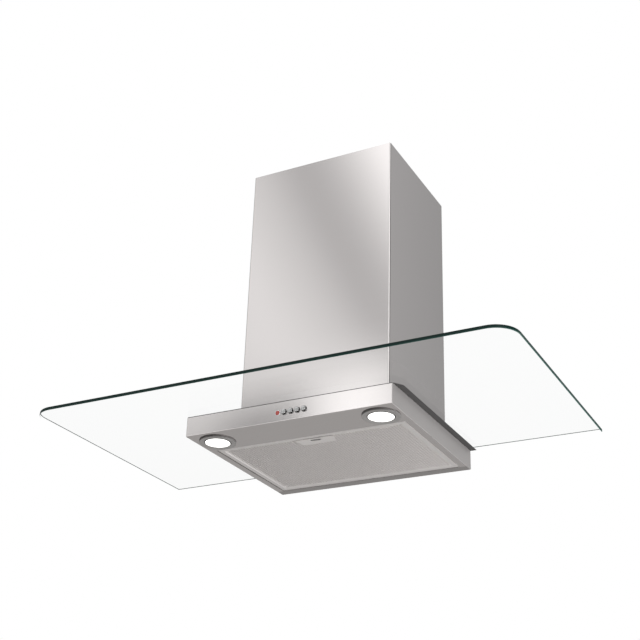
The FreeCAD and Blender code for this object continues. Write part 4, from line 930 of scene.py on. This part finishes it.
def dress_steel(colours):
    """Sheet metal, screws, springs, seal and rails."""
    steel = colours.steel
    dress(brushed_steel("chimney steel", steel, "x", 0.11), "chimney_cover")
    dress(brushed_steel("inner chimney steel", shade(steel, 0.97), "x"), "upper_chimney")
    # painted light: the canopy gets the chimney's steel made 12% lighter
    dress(body_steel("canopy steel", shade(steel, 1.12), 0.11), "canopy_shell")
    dress(zinc_sheet("galvanised sheet", colours.zinc), "wall_plate", "top_plate", "front_bulkhead",
          "chimney_bracket", "motor_spider", "lamp_housing_left", "lamp_housing_right")
    dress(chrome("bright zinc screws", (0.62, 0.62, 0.60), 0.22), "glass_bolts", "glass_nuts",
          "chimney_screws", "bracket_screws", "blower_screws", "motor_shaft", "impeller_nut",
          "damper_spindle")
    dress(chrome("spring wire", (0.50, 0.50, 0.50), 0.2), "button_spring_1", "button_spring_2",
          "button_spring_3", "button_spring_4", "latch_spring")
    dress(chrome("latch tongue", (0.70, 0.70, 0.70), 0.16), "filter_latch")
    # painted shade: the mesh pack is the steel darkened to 0.8, for the shade seen through the mesh's
    # holes
    dress(brushed_steel("mesh pack", shade(steel, 0.8), "y", 0.55, 0.3), "filter_mesh")
    # the black seal is a real part and also stands for the shadow gap between the glass and the body:
    # partly painted shade
    dress(plastic("glass seal", (0.03, 0.03, 0.03), 0.5, 500.0), "glass_seal")
    dress(painted_metal("black rail paint", colours.rail, 0.46), "glass_rail_left", "glass_rail_right")


def dress_blower():
    """Blower, electrical boxes, bushes and bulbs."""
    dress(plastic("blower housing", (0.045, 0.046, 0.048)), "blower_housing_left",
          "blower_housing_right", "outlet_collar", "inlet_guard", "switch_block")
    dress(plastic("impeller plastic", (0.16, 0.17, 0.18), 0.38), "impeller", "damper_flap_front",
          "damper_flap_rear")
    dress(painted_metal("motor paint", (0.10, 0.11, 0.12)), "motor")
    dress(plastic("black rubber", (0.02, 0.02, 0.02), 0.7, 500.0), "motor_mounts")
    dress(plastic("pale box plastic", (0.62, 0.62, 0.60), 0.4), "terminal_box", "terminal_box_lid",
          "capacitor", "lamp_transformer")
    dress(plastic("natural nylon", (0.72, 0.71, 0.67), 0.35), "glass_bushes", "cable_gland",
          "filter_clips")
    dress(plastic("bulb glass", (0.90, 0.88, 0.80), 0.1, 300.0, 0.02), "lamp_bulb_left",
          "lamp_bulb_right")


# ---------------------------------------------------------------- stage

FLOOR_HALF = 12
# name, place, what it shines at, width, height and power
LIGHTS = (("key light", (2.4, -2.2, 1.8), (0, -0.2, 0), 1.6, 1.6, 16),
          ("fill light", (0.95, -0.1, -0.8), (0.15, -0.15, -0.2), 1.2, 0.9, 18))
DEGREES = 180 / math.pi
WORLD_DIFFUSE = 0.75
# a dim band that slants over the front: degrees left of it (minus is right), as parts of BAND_SPAN
BAND_LEFT = -9.4
BAND_SPAN = 60.0
BAND_SLANT = 0.625
BAND_GAIN = 1.8
BAND_STOPS = ((0.0, 0.55), (0.30, 0.60), (0.385, 1.0), (0.406, 1.0), (0.42, 0.74), (0.44, 0.56),
              (0.457, 0.42), (0.475, 0.34), (0.4975, 0.31), (0.512, 0.45), (0.53, 0.53), (0.56, 0.60),
              (0.58, 0.68), (0.61, 0.66), (0.65, 0.62), (0.80, 0.50))
# below a slanting edge the front mirrors another pattern: over LOW_SPAN degrees from LOW_LEFT
LOW_EDGE = 24.4
LOW_SLOPE = 0.373
LOW_EDGE_LEFT = -25.0
LOW_EDGE_STEEPNESS = 1.4
LOW_LEFT = -36.0
LOW_SPAN = 12.0
LOW_STOPS = ((0.125, 0.44), (0.208, 0.43), (0.283, 0.21), (0.367, 0.14), (0.45, 0.11), (0.567, 0.16),
             (0.617, 0.60), (0.667, 0.78), (0.758, 0.93), (0.85, 0.97), (0.94, 0.86), (1.0, 0.52))
# folds and rims mirror what stands near the horizon: bright in the room and dark at the wall
HORIZON_SPAN = 60.0
HORIZON_STOPS = ((0.22, 0), (0.33, 1), (0.67, 1), (0.76, 0))
ROOM_STOPS = ((0.28, 0), (0.36, 1), (0.62, 1), (0.70, 0))
ROOM_GLOW = 1.5
WALL_STOPS = ((0.12, 1), (0.20, 0), (0.80, 0), (0.88, 1))
WALL_DARKNESS = 0.95
# what the metal mirrors, round from the wall (0) by the left (0.25), the room (0.5) and the right
AROUND_STOPS = ((0.0, 0.45), (0.30, 0.75), (0.40, 1.0), (0.47, 1.0), (0.58, 1.0), (0.66, 0.12),
                (0.80, 0.12), (0.91, 0.60), (0.931, 0.58), (0.935, 0.52), (0.939, 0.46), (0.944, 0.42),
                (1.0, 0.40))


def build_floor(stage, colours):
    """Matt floor below the hood."""
    shape = bmesh.new()
    level = BODY_BOTTOM - stage.floor_drop
    bmesh.ops.create_grid(shape, x_segments=1, y_segments=1, size=FLOOR_HALF,
                          matrix=Matrix.Translation((0, 0, level)))
    mesh = bpy.data.meshes.new("studio_floor")
    shape.to_mesh(mesh)
    shape.free()
    floor = bpy.data.objects.new("studio_floor", mesh)
    bpy.context.scene.collection.objects.link(floor)
    material, make = new_material("pale floor")
    speckle = make.noise(make.coordinates(), 3.0)
    make.end(make.node("ShaderNodeBsdfDiffuse", {}, {
        "Color": make.mottle(speckle, colours.floor, 0.98, 1.02)}))
    mesh.materials.append(material)


def build_world():
    """White behind the hood; soft bright and dark zones in what the metal mirrors."""
    world = bpy.data.worlds.new("studio")
    bpy.context.scene.world = world
    world.use_nodes = True
    make = Maker(world.node_tree)
    x, y, z = make.parts(make.node("ShaderNodeTexCoord", output="Generated"))
    azimuth, rise = make.maths("ARCTAN2", x, 0 - y), make.maths("ARCSINE", z)
    around = azimuth * (0.5 / math.pi) + 0.5
    slant = 0 - azimuth - rise * BAND_SLANT + math.radians(BAND_LEFT)
    across = slant * (DEGREES / BAND_SPAN) + 0.5
    low_across = azimuth * (DEGREES / LOW_SPAN) - LOW_LEFT / LOW_SPAN
    edge = (azimuth * DEGREES - LOW_EDGE_LEFT) * LOW_SLOPE + LOW_EDGE
    above = make.ramp((rise * DEGREES - edge) * LOW_EDGE_STEEPNESS + 0.5, (0, 0), (1, 1))
    front = make.ramp(across, *BAND_STOPS) * above + make.ramp(low_across, *LOW_STOPS) * (1 - above)
    horizon = make.ramp(rise * (DEGREES / HORIZON_SPAN) + 0.5, *HORIZON_STOPS)
    room = make.ramp(around, *ROOM_STOPS) * horizon
    wall = make.ramp(around, *WALL_STOPS) * horizon
    zones = make.ramp(around, *AROUND_STOPS) * front * BAND_GAIN
    mirrored = zones * (1 - wall * WALL_DARKNESS) * (1 - room) + room * ROOM_GLOW
    glossy = make.node("ShaderNodeLightPath", output="Is Glossy Ray")
    seen = make.node("ShaderNodeLightPath", output="Is Camera Ray")
    diffuse = 1 - seen - glossy
    strength = seen + glossy * mirrored + diffuse * WORLD_DIFFUSE
    background = make.node("ShaderNodeBackground", {}, {"Color": (1, 1, 1, 1), "Strength": strength})
    make.end(background, "ShaderNodeOutputWorld")


def soft_light(name, place, target, width, height, power):
    """Rectangular light that shines at a point."""
    data = bpy.data.lights.new(name, "AREA")
    data.shape = "RECTANGLE"
    data.size = width
    data.size_y = height
    data.energy = power
    light = bpy.data.objects.new(name, data)
    light.location = place
    light.rotation_euler = (Vector(target) - Vector(place)).to_track_quat("-Z", "Y").to_euler()
    bpy.context.scene.collection.objects.link(light)


def build_camera(stage):
    """Camera that sees the hood as the photograph does."""
    yaw, pitch, roll = -stage.camera_yaw, stage.camera_pitch, stage.camera_roll
    ahead = Vector((math.sin(yaw) * math.cos(pitch), math.cos(yaw) * math.cos(pitch), math.sin(pitch)))
    level_right = Vector((math.cos(yaw), -math.sin(yaw), 0))
    level_up = level_right.cross(ahead)
    right = level_right * math.cos(roll) + level_up * math.sin(roll)
    up = level_up * math.cos(roll) - level_right * math.sin(roll)
    data = bpy.data.cameras.new("camera")
    data.sensor_fit = "HORIZONTAL"
    data.lens = stage.focal_pixels / stage.image_pixels * data.sensor_width
    camera = bpy.data.objects.new("camera", data)
    turned = Matrix((right, up, -ahead)).transposed().to_4x4()
    camera.matrix_world = Matrix.Translation(stage.camera_place) @ turned
    bpy.context.scene.collection.objects.link(camera)
    bpy.context.scene.camera = camera


# ---------------------------------------------------------------- operators

class HOOD_OT_glass(bpy.types.Operator):
    """Make the flat glass pane with its ground edges"""

    bl_idname = "range_hood.glass"
    bl_label = "Glass Pane"

    def execute(self, context):
        build_glass(context.scene.hood_sizes, context.scene.hood_colours)
        return {"FINISHED"}


class HOOD_OT_controls(bpy.types.Operator):
    """Make the push buttons, the pilot light and their rings"""

    bl_idname = "range_hood.controls"
    bl_label = "Controls"

    def execute(self, context):
        build_buttons()
        build_pilot(context.scene.hood_colours)
        return {"FINISHED"}


class HOOD_OT_lamps(bpy.types.Operator):
    """Make the rings and lit lenses of the lamps"""

    bl_idname = "range_hood.lamps"
    bl_label = "Lamps"

    def execute(self, context):
        build_lamps()
        return {"FINISHED"}


class HOOD_OT_filter(bpy.types.Operator):
    """Make the grease filter's frame, its expanded mesh and the latch plate"""

    bl_idname = "range_hood.filter"
    bl_label = "Grease Filter"

    def execute(self, context):
        sizes, colours = context.scene.hood_sizes, context.scene.hood_colours
        build_filter_frame(sizes, colours)
        build_filter_mesh(sizes, colours)
        build_latch(colours)
        return {"FINISHED"}


class HOOD_OT_steel(bpy.types.Operator):
    """Finish the sheet metal, screws and springs"""

    bl_idname = "range_hood.steel"
    bl_label = "Steel Finishes"

    def execute(self, context):
        dress_steel(context.scene.hood_colours)
        return {"FINISHED"}


class HOOD_OT_blower(bpy.types.Operator):
    """Finish the blower and the electrical boxes"""

    bl_idname = "range_hood.blower"
    bl_label = "Blower Finishes"

    def execute(self, context):
        dress_blower()
        return {"FINISHED"}


class HOOD_OT_stage(bpy.types.Operator):
    """Set up the floor, the lights, the world and the camera"""

    bl_idname = "range_hood.stage"
    bl_label = "Stage"

    def execute(self, context):
        stage = context.scene.hood_stage
        build_floor(stage, context.scene.hood_colours)
        build_world()
        for light in LIGHTS:
            soft_light(*light)
        build_camera(stage)
        context.scene.view_settings.view_transform = "Standard"
        return {"FINISHED"}


class HOOD_PT_panel(bpy.types.Panel):
    """Lists the range hood's operators"""

    bl_idname = "HOOD_PT_panel"
    bl_label = "Range Hood"
    bl_space_type = "VIEW_3D"
    bl_region_type = "UI"
    bl_category = "Range Hood"

    def draw(self, context):
        for operator in OPERATORS:
            self.layout.operator(operator.bl_idname)


OPERATORS = (HOOD_OT_steel, HOOD_OT_blower, HOOD_OT_glass, HOOD_OT_controls, HOOD_OT_lamps,
             HOOD_OT_filter, HOOD_OT_stage)
GROUPS = (("hood_sizes", HoodSizes), ("hood_colours", HoodColours), ("hood_stage", StageSizes))


def register():
    for name, group in GROUPS:
        bpy.utils.register_class(group)
        setattr(bpy.types.Scene, name, PointerProperty(type=group))
    for operator in OPERATORS:
        bpy.utils.register_class(operator)
    bpy.utils.register_class(HOOD_PT_panel)


def unregister():
    bpy.utils.unregister_class(HOOD_PT_panel)
    for operator in reversed(OPERATORS):
        bpy.utils.unregister_class(operator)
    for name, group in reversed(GROUPS):
        delattr(bpy.types.Scene, name)
        bpy.utils.unregister_class(group)


def main():
    register()
    for operator in OPERATORS:
        family, name = operator.bl_idname.split(".")
        getattr(getattr(bpy.ops, family), name)()


if __name__ == "__main__":
    main()
